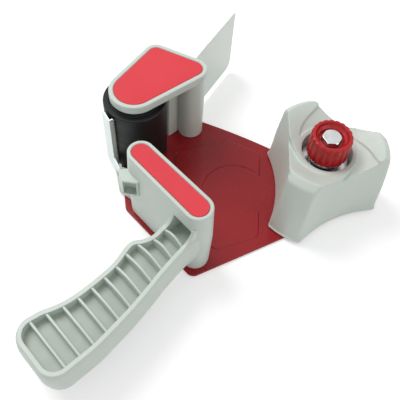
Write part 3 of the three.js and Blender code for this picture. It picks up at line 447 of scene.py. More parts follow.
grey = grey_moulding("light_grey_moulding")
arm = moulded("arm_moulding", cap_circles, [
    (-CAP_EDGE, CAP_UNDER),
    *round_over((-CAP_EDGE, CAP_UNDER), (0, CAP_UNDER + CAP_EDGE), "across"),
    *round_over((0, CAP_TOP - CAP_EDGE), (-CAP_EDGE, CAP_TOP), "up"),
])
arm_column = turned("arm_column", [
    (COLUMN_RADIUS - FOOT_EDGE, SEAT_GAP),
    (COLUMN_RADIUS, SEAT_GAP + FOOT_EDGE),
    (COLUMN_RADIUS, CAP_UNDER + CAP_LAP),
], 96, screw_places["arm_screw"], loop=False)
arm_wall = moulded("arm_wall", wall_circles, [(0, SEAT_GAP), (0, CAP_UNDER + CAP_LAP)])
flap_course = course(flap_points, FLAP_STEPS)
combine(arm, [arm_column, arm_wall], "UNION")
combine(arm, [
    label_recess("cap_recess", cap_circles, CAP_RIM, CAP_TOP),
    rod("axle_hole", AXLE_HOLE_RADIUS, CAP_UNDER - OVERRUN, CAP_UNDER + AXLE_HOLE_DEPTH, 64, ROLLER_PLACE),
    rod("screw_hole", SCREW_HOLE_RADIUS, -OVERRUN, SCREW_HOLE_TOP, 48, screw_places["arm_screw"]),
    prism("flap_slot", strip(flap_course, SLOT_HALF), -OVERRUN, SLOT_TOP),
], "DIFFERENCE")
finished(arm, grey, "frame", "grey_plastic", "top_arm")

# Labels: thin plates of coral red plastic, pressed into the recesses on top of the cap and,
# further down, of the block. They are plain, with a fine matt grain.
LABEL_THICKNESS = 0.5
LABEL_EDGE = 0.15
coral = Finish("coral_red_plate", 0.5, Specular_IOR_Level=0.25)
coral_grain = coral.noise(700, 3)
coral.two_tone(coral.noise(35, 3), colour(222, 62, 72), colour(234, 73, 82))
coral.patches(coral_grain, 0.46, 0.62)
coral.bump(coral_grain, 0.02)


def label_plate(name, node, circles, rim, top, place=None):
    """A label that lies in its recess with a gap below it and round it."""
    edge = -rim - SEAT_GAP
    low = top - LABEL_RECESS + SEAT_GAP
    high = low + LABEL_THICKNESS
    plate_shape = moulded(name, circles, [
        (edge, low),
        (edge, high - LABEL_EDGE),
        *round_over((edge, high - LABEL_EDGE), (edge - LABEL_EDGE, high), "up", 3),
    ], place=place)
    finished(plate_shape, coral, "frame", "red_label", node)


label_plate("cap_plate", "arm_label", cap_circles, CAP_RIM, CAP_TOP)

# Wiper flap: a thin bent sheet of pale plastic that stands in the slot of the column and
# presses the tape on to the box. Its free end is rounded at the lower corner.
FLAP_LOW = 1.8
FLAP_HIGH = 49.4
FLAP_HALF = 0.6
FLAP_CORNER = 6.0
FLAP_EDGE_ACROSS = 0.3
FLAP_EDGE_UP = 0.4
flap_plastic = Finish("pale_sheet_plastic", 0.35)
flap_bands = flap_plastic.noise(60, 2, (1.0, 1.0, 0.15))
flap_plastic.two_tone(flap_bands, colour(222, 231, 224), colour(233, 240, 234))
flap_plastic.patches(flap_plastic.noise(200), 0.3, 0.42)
flap_plastic.bump(flap_bands, 0.03)

flap_rings = []
flap_tip = Vector(flap_course[-1])
for (x, y), along in zip(flap_course, headings(flap_course)):
    short = max(FLAP_CORNER - (flap_tip - Vector((x, y))).length, 0.0)
    low = FLAP_LOW + FLAP_CORNER - math.sqrt(max(FLAP_CORNER ** 2 - short ** 2, 0.0))
    narrow, foot, brow = FLAP_HALF - FLAP_EDGE_ACROSS, low + FLAP_EDGE_UP, FLAP_HIGH - FLAP_EDGE_UP
    section = [(-FLAP_HALF, foot), (-narrow, low), (narrow, low), (FLAP_HALF, foot),
               (FLAP_HALF, brow), (narrow, FLAP_HIGH), (-narrow, FLAP_HIGH), (-FLAP_HALF, brow)]
    flap_rings.append([(x - offset * along.y, y + offset * along.x, z) for offset, z in section])
flap = skin("bent_flap", flap_rings)
finished(flap, flap_plastic, "frame", "grey_plastic", "wiper_flap", sharp=50)

# Roller: a black rubber sleeve on a moulded spool, which turns with two nylon bushes on a
# fixed steel axle. Round marks from the grinding wheel run about the rubber.
rubber = Finish("ground_black_rubber", 0.45, Specular_IOR_Level=0.28)
grinding = rubber.noise(55, 3, (0.15, 0.15, 14.0))
rubber.two_tone(rubber.noise(30, 3), colour(9, 10, 12), colour(18, 19, 22))
rubber.patches(grinding, 0.38, 0.56)
rubber.bump(grinding, 0.03)
SLEEVE_INNER = 15.2
SLEEVE_OUTER = 18.8
SLEEVE_LOW = 3.1
SLEEVE_HIGH = 48.4
SLEEVE_EDGE = 0.9
SLEEVE_CHAMFER = 0.3
sleeve = turned("rubber_sleeve", [
    (SLEEVE_INNER, SLEEVE_LOW),
    (SLEEVE_OUTER - SLEEVE_EDGE, SLEEVE_LOW),
    *round_over((SLEEVE_OUTER - SLEEVE_EDGE, SLEEVE_LOW), (SLEEVE_OUTER, SLEEVE_LOW + SLEEVE_EDGE), "across"),
    (SLEEVE_OUTER, SLEEVE_HIGH - SLEEVE_EDGE),
    *round_over((SLEEVE_OUTER, SLEEVE_HIGH - SLEEVE_EDGE), (SLEEVE_OUTER - SLEEVE_EDGE, SLEEVE_HIGH), "up"),
    (SLEEVE_INNER + SLEEVE_CHAMFER, SLEEVE_HIGH),
    (SLEEVE_INNER, SLEEVE_HIGH - SLEEVE_CHAMFER),
], 144, ROLLER_PLACE)
finished(sleeve, rubber, "roller", "black_rubber", "roller_sleeve")

spool_plastic = Finish("black_spool_plastic", 0.45)
spool_plastic.two_tone(spool_plastic.noise(40), colour(46, 48, 52), colour(58, 60, 64))
spool_plastic.bump(spool_plastic.noise(800), 0.012)
coated(spool_plastic, "roller_core")
nylon = Finish("white_nylon", 0.4)
nylon.two_tone(nylon.noise(60), colour(222, 221, 213), colour(232, 231, 225))
nylon.bump(nylon.noise(900), 0.01)
coated(nylon, "roller_bush_lower", "roller_bush_upper")
coated(zinc, "roller_axle", "roller_washer")

# Handle: one light grey moulding of the block, the bracket with its window, the carrier of
# the blade and the pistol grip, whose barrelled shell is open above and stiffened by ribs.
HANDLE_PLACE = screw_places["handle_screw_near"]
HANDLE_TURN = -43.7
BLOCK_TOP = 55.3
BLOCK_RIM = 2.1
BLOCK_PARTING_LOW = 27.4
BLOCK_PARTING_HIGH = 28.2
BLOCK_EDGE_ACROSS = 0.8
BLOCK_EDGE_UP = 0.9
DRAFT = 0.8
GRIP_LENGTH = 107.0
GRIP_WIDTH = 30.0
GRIP_LOW = 13.0
GRIP_HIGH = 36.4
GRIP_WALL = 2.0
GRIP_END_RADIUS = 9.0
GRIP_END_RISE = 1.2
GRIP_BULGE = 1.8
GRIP_DRAW = 3.0
SIDE_STEPS = 5
CORNER_STEPS = 12
FOLD_SHARE = 0.97
SHARPEST_MITRE = 0.5
PARTING_LOW = 25.0
PARTING_HIGH = 25.8
WEB_LOW = 28.2
WEB_HIGH = 31.0
RIB_COUNT = 11
RIB_FIRST = 14.5
RIB_PITCH = 8.15
RIB_ARCH = 3.2
RIB_ARCH_LOST = 0.8
RIB_SHOULDER = 0.8
RIB_CLEAR = 0.4
RIB_LAP = 1.0
ARCH_STEPS = 16
THROAT_LEFT = -9.3
THROAT_RIGHT = 4.2
CARRIER_TOP = 15.5
CARRIER_EDGE = 0.4
LEDGE_TOP = 3.0
LEDGE_EDGE = 0.3
BRACKET_LOW = 28.5
BRACKET_TOP = 41.8
BRACKET_EDGE = 0.4
WINDOW_PLACE = (-109.7, -32.5)
WINDOW_TURN = -5.0
WINDOW_HALF_WIDTH = 3.7
WINDOW_HALF_DEPTH = 4.6
WINDOW_LOW = 30.0
WINDOW_HIGH = 40.4
BLADE_PLACE = (-125.9, 4.9)
TAB_TURN = -60.0
TAB_SLOT_HALF = 0.7
block_circles = [(0, 0, 8.9), (-46, 0, 8.5)]
carrier_circles = [(-118.9, -5, 1.2), (-116.7, -12.3, 1.2), (-107, -20, 2), (-103, -22, 3), (-103, -14, 3)]
ledge_circles = [(-123.4, 2.4, 1.6), (-119.4, -11.4, 1.6), (-109, -18, 1.6), (-104, -12, 2), (-106, 2.4, 1.6)]
bracket_circles = [(-115.6, -25.2, 1.2), (-112.9, -30.8, 1.2), (-105.4, -31.7, 1), (-104, -26, 2),
                   (-109, -24.2, 1.4)]
gusset_side = [(0, 30), (0, 45.4), (-8, 45.4), (-9.2, 41.8), (-10.8, 39), (-12.8, 37.2), (-16, 36.3),
               (-16, 30)]
throat_side = [(-16.1, WEB_HIGH), (-3.2, WEB_HIGH), (-3.2, 35.5), (-3.9, 39), (-5.4, 42), (-8.2, 44.6),
               (-16.1, 47)]
rib_edges = [(-0.75, 0.5), (-0.6, 0.15), (-0.4, 0), (0.4, 0), (0.6, 0.15), (0.75, 0.5)]
tab_slot_outline = [(0, 2.8), (17.1, 2.8), (17.1, 13.1), (0, 13.1)]


def swung(place, degrees, x, y):
    """Where x and y lead to from a place, in axes that are turned by some degrees."""
    cos, sin = math.cos(math.radians(degrees)), math.sin(math.radians(degrees))
    return place[0] + cos * x - sin * y, place[1] + sin * x + cos * y


def on_handle(x, y, z):
    """A place of the handle, whose grip runs down its y axis, in the dispenser's axes."""
    return (*swung(HANDLE_PLACE, HANDLE_TURN, x, y), z)


def in_window(x, y, z):
    """A place of the bracket's window in the dispenser's axes."""
    return (*swung(WINDOW_PLACE, WINDOW_TURN, x, y), z)


def grip_outline():
    """The grip in plan: its two sides in shares of its width and length, and a rounded end."""
    left_shares = [(0.02, -0.4), (0.12, -0.39), (0.2, -0.355), (0.255, -0.4), (0.315, -0.5),
                   (0.426, -0.387), (0.51, -0.345), (0.662, -0.33), (0.755, -0.373), (0.839, -0.467)]
    right_shares = [(0.815, 0.6), (0.741, 0.593), (0.667, 0.56), (0.519, 0.483), (0.37, 0.37),
                    (0.287, 0.3), (0.143, 0.21), (0.08, 0.2), (0.01, 0.2)]
    left, right = (course([(width * GRIP_WIDTH, -share * GRIP_LENGTH) for share, width in shares], SIDE_STEPS)
                   for shares in (left_shares, right_shares))
    left_end = left[-1][0] + GRIP_END_RADIUS - GRIP_WALL / 2
    right_end = right[0][0] - GRIP_END_RADIUS
    end = GRIP_END_RADIUS + GRIP_END_RISE - GRIP_LENGTH
    corners = []
    for x, start in ((left_end, math.pi), (right_end, -math.pi / 2)):
        for k in range(CORNER_STEPS + 1):
            angle = start + math.pi / 2 * k / CORNER_STEPS
            corners.append((x + GRIP_END_RADIUS * math.cos(angle), end + GRIP_END_RADIUS * math.sin(angle)))
    return [*left, *corners, *right]


def drawn(points, outward):
    """A counter-clockwise outline moved outwards by the same distance all round."""
    moved = []
    for i, point in enumerate(points):
        here, before, after = Vector(point), Vector(points[i - 1]), Vector(points[(i + 1) % len(points)])
        arrive, leave = (here - before).normalized(), (after - here).normalized()
        inward = Vector((-arrive.y - leave.y, arrive.x + leave.x)).normalized()
        reach = outward / max(inward.dot(Vector((-leave.y, leave.x))), SHARPEST_MITRE)
        moved.append((here.x - inward.x * reach, here.y - inward.y * reach))
    return moved


def hollowed(points, wall):
    """The outline moved in by a wall, without the points that would fold over in its corners."""
    edges = [(Vector(points[i - 1]), Vector(points[i])) for i in range(len(points))]

    def distance(place):
        least = math.inf
        for start, end in edges:
            step = end - start
            share = max(0.0, min((place - start).dot(step) / step.length_squared, 1.0))
            least = min(least, (place - start - step * share).length)
        return least

    return [point for point in drawn(points, -wall) if distance(Vector(point)) > FOLD_SHARE * wall]


def crossways(name, profile, left, right):
    """A side view of (y, height) points carried across the handle."""
    return skin(name, [[(x, y, z) for y, z in profile] for x in (left, right)], place=on_handle)


def rib(number):
    """A rib across the grip, with an arched crown that falls towards the grip's end."""
    middle = -RIB_FIRST - number * RIB_PITCH
    edge = drawn(outer, -GRIP_WALL)
    crossings = []
    for i, (x, y) in enumerate(edge):
        next_x, next_y = edge[(i + 1) % len(edge)]
        if (y - middle) * (next_y - middle) < 0:
            crossings.append(x + (middle - y) / (next_y - y) * (next_x - x))
    left, right = min(crossings), max(crossings)
    rise = RIB_ARCH * (1 - RIB_ARCH_LOST * number / (RIB_COUNT - 1))
    rings = []
    for across, drop in rib_edges:
        crown, foot = GRIP_HIGH - RIB_CLEAR - drop, GRIP_LOW + RIB_CLEAR
        shoulder = GRIP_HIGH - RIB_SHOULDER - drop
        section = [(right + RIB_LAP, shoulder), (right + RIB_LAP, foot), (left - RIB_LAP, foot),
                   (left - RIB_LAP, shoulder)]
        for k in range(ARCH_STEPS + 1):
            share = k / ARCH_STEPS
            section.append((left + (right - left) * share, crown + rise * math.sin(math.pi * share)))
        rings.append([(x, middle + across, z) for x, z in section])
    return skin("rib", rings, place=on_handle)


def upright(name, turn, outline, half):
    """A sheet standing on edge at the blade's bend, from an outline of (reach, height) points."""
    return skin(name, [[(*swung(BLADE_PLACE, turn, reach, side * half), z) for reach, z in outline]
                       for side in (-1, 1)])


outer = grip_outline()
barrel = []
for theta in range(90, -1, -15):
    up, across = math.sin(math.radians(theta)), 1 - math.cos(math.radians(theta))
    barrel.append((GRIP_BULGE - GRIP_DRAW * across, PARTING_LOW - (PARTING_LOW - GRIP_LOW) * up))
for theta in range(0, 91, 15):
    up, across = math.sin(math.radians(theta)), 1 - math.cos(math.radians(theta))
    barrel.append((GRIP_BULGE - GRIP_BULGE * across, PARTING_HIGH + (GRIP_HIGH - PARTING_HIGH) * up))
grip = skin("grip_shell", [[(x, y, z) for x, y in drawn(outer, out)] for out, z in barrel], place=on_handle)
upper_hollow = hollowed(outer, GRIP_WALL)
lower_hollow = hollowed(outer, GRIP_WALL + GRIP_DRAW - GRIP_BULGE)
combine(grip, [
    prism("upper_hollow", upper_hollow, WEB_HIGH, GRIP_HIGH + OVERRUN, on_handle),
    prism("lower_hollow", lower_hollow, GRIP_LOW - OVERRUN, WEB_LOW, on_handle),
], "DIFFERENCE")

gusset = crossways("gusset", gusset_side, -GRIP_WIDTH, GRIP_WIDTH)
combine(gusset, [prism("gusset_plan", outer, WEB_HIGH, BLOCK_TOP, on_handle)], "INTERSECT")
handle = moulded("handle_moulding", block_circles, [
    (-DRAFT - FOOT_EDGE, SEAT_GAP),
    *round_over((-DRAFT - FOOT_EDGE, SEAT_GAP), (-DRAFT, SEAT_GAP + FOOT_EDGE), "across"),
    (0, BLOCK_PARTING_LOW),
    (0, BLOCK_PARTING_HIGH),
    *round_over((-DRAFT, BLOCK_TOP - BLOCK_EDGE_UP), (-DRAFT - BLOCK_EDGE_ACROSS, BLOCK_TOP), "up", 5),
], 3, on_handle)
combine(handle, [grip, gusset], "UNION")
combine(handle, [crossways("throat", throat_side, THROAT_LEFT, THROAT_RIGHT)], "DIFFERENCE")

carrier = moulded("carrier", carrier_circles, [
    (0, SEAT_GAP),
    (0, CARRIER_TOP - CARRIER_EDGE),
    *round_over((0, CARRIER_TOP - CARRIER_EDGE), (-CARRIER_EDGE, CARRIER_TOP), "up", 3),
])
ledge = moulded("ledge", ledge_circles, [
    (0, SEAT_GAP),
    (0, LEDGE_TOP - LEDGE_EDGE),
    *round_over((0, LEDGE_TOP - LEDGE_EDGE), (-LEDGE_EDGE, LEDGE_TOP), "up", 3),
])
bracket = moulded("bracket", bracket_circles, [
    (-BRACKET_EDGE, BRACKET_LOW),
    *round_over((-BRACKET_EDGE, BRACKET_LOW), (0, BRACKET_LOW + BRACKET_EDGE), "across", 3),
    *round_over((0, BRACKET_TOP - BRACKET_EDGE), (-BRACKET_EDGE, BRACKET_TOP), "up", 3),
])
combine(handle, [*(rib(number) for number in range(RIB_COUNT)), carrier, ledge, bracket], "UNION")

window = [(-WINDOW_HALF_WIDTH, -WINDOW_HALF_DEPTH), (WINDOW_HALF_WIDTH, -WINDOW_HALF_DEPTH),
          (WINDOW_HALF_WIDTH, WINDOW_HALF_DEPTH), (-WINDOW_HALF_WIDTH, WINDOW_HALF_DEPTH)]
combine(handle, [
    label_recess("block_recess", block_circles, DRAFT + BLOCK_RIM, BLOCK_TOP, 3, on_handle),
    prism("window", window, WINDOW_LOW, WINDOW_HIGH, in_window),
    upright("tab_slot", TAB_TURN, tab_slot_outline, TAB_SLOT_HALF),
    *(rod("screw_hole", SCREW_HOLE_RADIUS, -OVERRUN, SCREW_HOLE_TOP, 48, screw_places[name])
      for name in ("handle_screw_near", "handle_screw_far")),
], "DIFFERENCE")
# The handle's grey carries painted shade on its level faces up to just above the grip's web, the floor
# between the ribs among them.
handle_grey = grey_moulding("light_grey_handle", painted_shade_below=WEB_HIGH + 2)
finished(handle, handle_grey, "frame", "grey_plastic", "handle")
label_plate("block_plate", "handle_label", block_circles, BLOCK_RIM + DRAFT, BLOCK_TOP, on_handle)

# Blade: one bent sheet of hard steel, with a leaf beside the roller, a toothed edge turned
# in to it and a tab that sits in the carrier. The leaf shows the marks of rolling.
steel = Finish("rolled_blade_steel", 0.4, 1.0)
rolling = steel.noise(240, 3, (1.0, 1.0, 0.08))
steel.two_tone(rolling, colour(196, 206, 203), colour(226, 234, 231))
steel.patches(rolling, 0.34, 0.5)
steel.bump(rolling, 0.008, edge=0.12)
BLADE_HALF = 0.4
BLADE_LOW = 3.4
BLADE_HIGH = 47.6
LEAF_TURN = 124.0
LEAF_LOW = 1.2
LEAF_WIDTH = 9.6
LEAF_CUT = 1.0
LEAF_CORNER = 1.2
TEETH_TURN = 36.0
TOOTH_FOOT = 2.2
TOOTH_TIP = 3.1
TOOTH_COUNT = 17
TAB_LENGTH = 16.5
TAB_TOP = 12.5
TAB_CUT = 0.8
tooth_pitch = (BLADE_HIGH - BLADE_LOW) / TOOTH_COUNT
teeth = []
for k in range(TOOTH_COUNT):
    for share, reach in ((0, TOOTH_FOOT), (0.08, TOOTH_FOOT), (0.5, TOOTH_TIP), (0.92, TOOTH_FOOT)):
        teeth.append((reach, BLADE_LOW + (k + share) * tooth_pitch))
leaf_outline = [
    (0, LEAF_LOW),
    (LEAF_WIDTH - LEAF_CUT, LEAF_LOW),
    (LEAF_WIDTH, LEAF_LOW + LEAF_CUT),
    (LEAF_WIDTH, BLADE_HIGH - LEAF_CORNER),
    *round_over((LEAF_WIDTH, BLADE_HIGH - LEAF_CORNER), (LEAF_WIDTH - LEAF_CORNER, BLADE_HIGH), "up"),
    (0, BLADE_HIGH),
]
teeth_outline = [(0, BLADE_LOW), *teeth, (TOOTH_FOOT, BLADE_HIGH), (0, BLADE_HIGH)]
tab_outline = [(0, BLADE_LOW), (TAB_LENGTH, BLADE_LOW), (TAB_LENGTH, TAB_TOP - TAB_CUT),
               (TAB_LENGTH - TAB_CUT, TAB_TOP), (0, TAB_TOP)]
blade = upright("toothed_blade", LEAF_TURN, leaf_outline, BLADE_HALF)
combine(blade, [
    upright("toothed_edge", TEETH_TURN, teeth_outline, BLADE_HALF),
    upright("tab", TAB_TURN, tab_outline, BLADE_HALF),
    rod("bend", BLADE_HALF, BLADE_LOW, BLADE_HIGH, 32, BLADE_PLACE),
], "UNION")
finished(blade, steel, "frame", "zinc_steel", "cutter_blade")

# Hub: a light grey moulding of three lobes between hollowed sides, which carries the roll.
# Its top is a shallow dish with three ramps sunk into it, and every edge is softly rounded.
HUB_LOW = 0.7
HUB_HIGH = 50.7
HUB_TURN = 1.0
HUB_WAIST = 23.3
HUB_WAIST_DRAW = 1.5
HUB_WALL = 2.4
HUB_STEPS = 240
LOBES = 3
LOBE_SWEEP = 360 / LOBES
SIDE_RADIUS_LOW = 76.0
SIDE_RADIUS_HIGH = 125.0
CORNER_BLEND = 1.6
POCKET_RADIUS_LOW = 39.0
POCKET_RADIUS_HIGH = 36.6
POCKET_TOP = 37.0
POCKET_CORE = 22.5
BOSS_RADIUS = 12.0
BOSS_SPACE_RADIUS = 20.0
BOSS_SPACE_TOP = 30.0
BOSS_LOW = 2.1
RECESS_FLOOR = 33.0
HUB_BORE_RADIUS = 5.1
HUB_BASE_REACH = 60.0
HUB_VOXEL = 0.45
RAMP_START = -37.8
RAMP_STEP = 2
RAMP_STEPS = 65
RAMP_PARTS = 12
hub_profile = [(39.8, HUB_LOW), (39.8, 1.7), (39, 1.9), (38, 24.3), (36.9, 34.7), (35.5, 45), (35.1, 46.7),
               (34.5, 47.7), (31.7, 50.3), (31, 50.6), (29, HUB_HIGH)]
hub_dish = [(14.6, 43), (20, 45), (24, 46.9), (28, 49.1), (30.5, 50.3), (31.3, HUB_HIGH)]
ramp_inner = [(RAMP_START, 31.7), (-32.8, 28.7), (-23.9, 25.2), (-15.1, 22.6), (-5.8, 20.5), (4.9, 19),
              (17, 18), (34, 17.4), (92, 17)]
ramp_outer = [(RAMP_START, 44), (26, 44), (33, 33), (40.5, 28.2), (47.6, 25.9), (57.2, 23.9), (67, 21.9),
              (78.8, 19.8), (92, 18)]
ramp_sunk = [(RAMP_START, 3.4), (0, 2.9), (40, 1.5), (64, 1), (92, 0.4)]


def hub_ring(radius, height, shrink=0.0):
    """The hub's outline at a height, with its lobes cut off by the three hollow sides."""
    share = (height - HUB_LOW) / (HUB_HIGH - HUB_LOW)
    side_radius = SIDE_RADIUS_LOW + share * (SIDE_RADIUS_HIGH - SIDE_RADIUS_LOW)
    centre = HUB_WAIST - share * HUB_WAIST_DRAW + side_radius
    ring = []
    for k in range(HUB_STEPS):
        degrees = 360 * k / HUB_STEPS
        angle = math.radians(LOBE_SWEEP / 2 - abs(degrees % LOBE_SWEEP - LOBE_SWEEP / 2))
        inside = side_radius ** 2 - (centre * math.sin(angle)) ** 2
        side = centre * math.cos(angle) - math.sqrt(inside) if inside > 0 else 2 * radius
        corner = max(CORNER_BLEND - abs(radius - side), 0.0)
        reach = min(radius, side) - corner ** 2 / (4 * CORNER_BLEND) - shrink
        turn = math.radians(HUB_TURN - LOBE_SWEEP / 2 + degrees)
        ring.append((reach * math.cos(turn), reach * math.sin(turn), height))
    return ring


def value_at(place, steps):
    """The value at a place on a line through (place, value) steps."""
    for (start, first), (end, last) in zip(steps, steps[1:]):
        if place <= end:
            return first + (last - first) * (place - start) / (end - start)
    return steps[-1][1]


def ramp(number):
    """The space over one sloping ramp, between its inner and outer edge and sunk below the dish."""
    sections = []
    for k in range(RAMP_STEPS + 1):
        angle = RAMP_START + RAMP_STEP * k
        turn = math.radians(HUB_TURN + 180 + LOBE_SWEEP * number + angle)
        near, far = value_at(angle, ramp_inner), value_at(angle, ramp_outer)
        section = []
        for i in range(RAMP_PARTS + 1):
            reach = near + (far - near) * i / RAMP_PARTS
            section.append((reach, value_at(reach, hub_dish) - value_at(angle, ramp_sunk)))
        section += [(far, HUB_HIGH + OVERRUN), (near, HUB_HIGH + OVERRUN)]
        sections.append([(reach * math.cos(turn), reach * math.sin(turn), z) for reach, z in section])
    return skin("ramp", sections)


hub = skin("lobed_hub", [hub_ring(radius, z) for radius, z in hub_profile])
pockets = skin("hub_pockets", [
    hub_ring(POCKET_RADIUS_LOW, HUB_LOW - OVERRUN, HUB_WALL),
    hub_ring(POCKET_RADIUS_LOW, HUB_LOW, HUB_WALL),
    hub_ring(POCKET_RADIUS_HIGH, POCKET_TOP, HUB_WALL),
])
combine(pockets, [rod("pocket_core", POCKET_CORE, -2 * OVERRUN, POCKET_TOP + OVERRUN)], "DIFFERENCE")
combine(hub, [
    pockets,
    turned("boss_space", [
        (BOSS_RADIUS, -OVERRUN),
        (BOSS_SPACE_RADIUS, -OVERRUN),
        (BOSS_SPACE_RADIUS, BOSS_SPACE_TOP),
        (BOSS_RADIUS, BOSS_SPACE_TOP),
    ]),
    turned("hub_recess", [
        (hub_dish[0][0], RECESS_FLOOR),
        *hub_dish,
        (hub_dish[-1][0], HUB_HIGH + OVERRUN),
    ], loop=False),
    *(ramp(number) for number in range(LOBES)),
], "DIFFERENCE")
voxels = hub.modifiers.new("voxels", "REMESH")
voxels.mode = "VOXEL"
voxels.voxel_size = HUB_VOXEL * MM
softened = hub.modifiers.new("softened", "SMOOTH")
softened.factor = 0.5
softened.iterations = 2
bpy.context.view_layer.update()
settle(hub)
combine(hub, [
    rod("hub_bore", HUB_BORE_RADIUS, -OVERRUN, HUB_HIGH + OVERRUN),
    rod("hub_base", HUB_BASE_REACH, -OVERRUN, HUB_LOW),
    rod("boss_base", BOSS_RADIUS + OVERRUN, -OVERRUN, BOSS_LOW),
], "DIFFERENCE")
finished(hub, grey, "hub", "grey_plastic", "hub", sharp=60)

# Spindle and washers: a flanged steel tube in the plate that the hub turns on, a brown fibre
# washer below the hub that brakes it, and plain steel washers above it.
fibre = Finish("brown_fibre", 0.85)
fibre_strands = fibre.noise(300, 4, (1.0, 0.2, 1.0))
fibre.two_tone(fibre_strands, colour(78, 62, 48), colour(104, 86, 66))
fibre.bump(fibre_strands, 0.04)
coated(fibre, "brake_washer")
coated(zinc, "hub_spindle", "knob_washer")
BOLT_HOLE_RADIUS = 3.3
WASHER_RADIUS = 13.6
WASHER_LOW = 33.3
WASHER_TOP = 34.5
washer = turned("turned_washer", [
    (BOLT_HOLE_RADIUS, WASHER_LOW),
    (WASHER_RADIUS, WASHER_LOW),
    (WASHER_RADIUS, WASHER_TOP),
    (BOLT_HOLE_RADIUS, WASHER_TOP),
])
finished(washer, zinc, "frame", "zinc_steel", "pressure_washer")

# Spring: one coil of zinc-plated wire between the pressure washer and the washer in the
# knob, built at one fixed length.
SPRING_RADIUS = 8.0
SPRING_TURNS = 3.5
SPRING_STEPS = 40
WIRE_RADIUS = 0.8
WIRE_SIDES = 12
KNOB_WASHER_LOW = 46.3
spring_low = WASHER_TOP + SEAT_GAP + WIRE_RADIUS
spring_high = KNOB_WASHER_LOW - SEAT_GAP - WIRE_RADIUS
spring_rings = []
for k in range(int(SPRING_TURNS * SPRING_STEPS) + 1):
    angle = 2 * math.pi * k / SPRING_STEPS
    height = spring_low + (spring_high - spring_low) * k / (SPRING_TURNS * SPRING_STEPS)
    ring = []
    for side in range(WIRE_SIDES):
        around = 2 * math.pi * side / WIRE_SIDES
        reach = SPRING_RADIUS + WIRE_RADIUS * math.cos(around)
        rise = WIRE_RADIUS * math.sin(around)
        ring.append((reach * math.cos(angle), reach * math.sin(angle), height + rise))
    spring_rings.append(ring)
spring = skin("coil_spring", spring_rings)
finished(spring, zinc, None, "zinc_steel", "tension_spring", sharp=50)
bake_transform(spring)

# Knob: a fluted knob moulded in bright red plastic, with a well in its top that holds the
# head of the bolt. It is polished by the mould and has a soft edge all round.
knob_plastic = Finish("glossy_red_plastic", 0.25, Specular_IOR_Level=0.3, Coat_Weight=0.1, Coat_Roughness=0.1)
knob_plastic.two_tone(knob_plastic.noise(50, 3), colour(172, 22, 27), colour(188, 30, 34))
knob_plastic.patches(knob_plastic.noise(260, 3), 0.18, 0.3)
knob_plastic.bump(knob_plastic.noise(600), 0.01)
KNOB_RADIUS = 12.0
KNOB_TOP_RADIUS = 11.75
KNOB_LOW = 42.0
KNOB_HIGH = 56.9
KNOB_CEILING = 47.6
KNOB_SKIRT_RADIUS = 10.0
KNOB_FLUTES = 20
FLUTE_DEPTH = 0.65
FLUTE_STEPS = 12
WELL_FLOOR = 52.3
HEAD_ACROSS_FLATS = 10.0
HEAD_LOW = 51.6
head_radius = HEAD_ACROSS_FLATS / 2 / math.cos(math.pi / 6)


def knob_ring(radius, z, depth):
    """A ring of the knob, with its flutes sunk to the given depth."""
    ring = []
    for k in range(KNOB_FLUTES * FLUTE_STEPS):
        angle = 2 * math.pi * k / (KNOB_FLUTES * FLUTE_STEPS)
        reach = radius - depth * max(0.0, -math.cos(KNOB_FLUTES * angle))
        ring.append((reach * math.cos(angle), reach * math.sin(angle), z))
    return ring


def six_sided(name, radius, low, high):
    """A six-sided prism with the given radius to its corners."""
    turns = [math.pi / 3 * k for k in range(6)]
    return prism(name, [(radius * math.cos(a), radius * math.sin(a)) for a in turns], low, high)


knob_profile = [
    (BOLT_HOLE_RADIUS, KNOB_CEILING, 0), (KNOB_SKIRT_RADIUS, KNOB_CEILING, 0),
    (KNOB_SKIRT_RADIUS, KNOB_LOW, 0), (11.3, KNOB_LOW, 0.2), (11.7, 42.2, 0.4), (11.9, 42.5, 0.5),
    (KNOB_RADIUS, 43, FLUTE_DEPTH), (KNOB_TOP_RADIUS, 55.9, FLUTE_DEPTH), (11.65, 56.3, 0.6),
    (11.45, 56.6, 0.5), (11.1, 56.85, 0.35), (10.6, KNOB_HIGH, 0.1), (9.9, KNOB_HIGH, 0), (9.5, 56.75, 0),
    (9.3, 56.4, 0), (9, 55.4, 0), (8.4, 54.7, 0), (7.4, 54.2, 0), (7.15, 53.9, 0), (7, WELL_FLOOR, 0),
    (BOLT_HOLE_RADIUS, WELL_FLOOR, 0),
]
knob = skin("fluted_knob", [knob_ring(*step) for step in knob_profile], loop=True)
head_seat = six_sided("head_seat", head_radius + SEAT_GAP, HEAD_LOW - SEAT_GAP, KNOB_HIGH + OVERRUN)
combine(knob, [head_seat], "DIFFERENCE")
finished(knob, knob_plastic, "knob", "red_plastic", "tension_knob")

# Bolt: zinc-plated steel with a six-sided head, which runs down through the knob, the spring
# and the spindle. Its head is chamfered and held in the knob.
HEAD_TOP = 55.8
SHANK_RADIUS = 3.0
SHANK_END = 8.0
SHANK_CHAMFER = 0.5
bolt = six_sided("hub_bolt_head", head_radius, HEAD_LOW, HEAD_TOP)
chamfer_profile = [(head_radius, HEAD_LOW - 1), (head_radius, HEAD_TOP - 0.8), (5.25, 55.55), (4.7, HEAD_TOP)]
shank_profile = [(SHANK_RADIUS - SHANK_CHAMFER, SHANK_END), (SHANK_RADIUS, SHANK_END + SHANK_CHAMFER),
                 (SHANK_RADIUS, HEAD_LOW + SHANK_CHAMFER)]
combine(bolt, [turned("head_chamfer", chamfer_profile, loop=False)], "INTERSECT")
combine(bolt, [turned("bolt_shank", shank_profile, 64, loop=False)], "UNION")
finished(bolt, zinc, "knob", "zinc_steel", "hub_bolt")

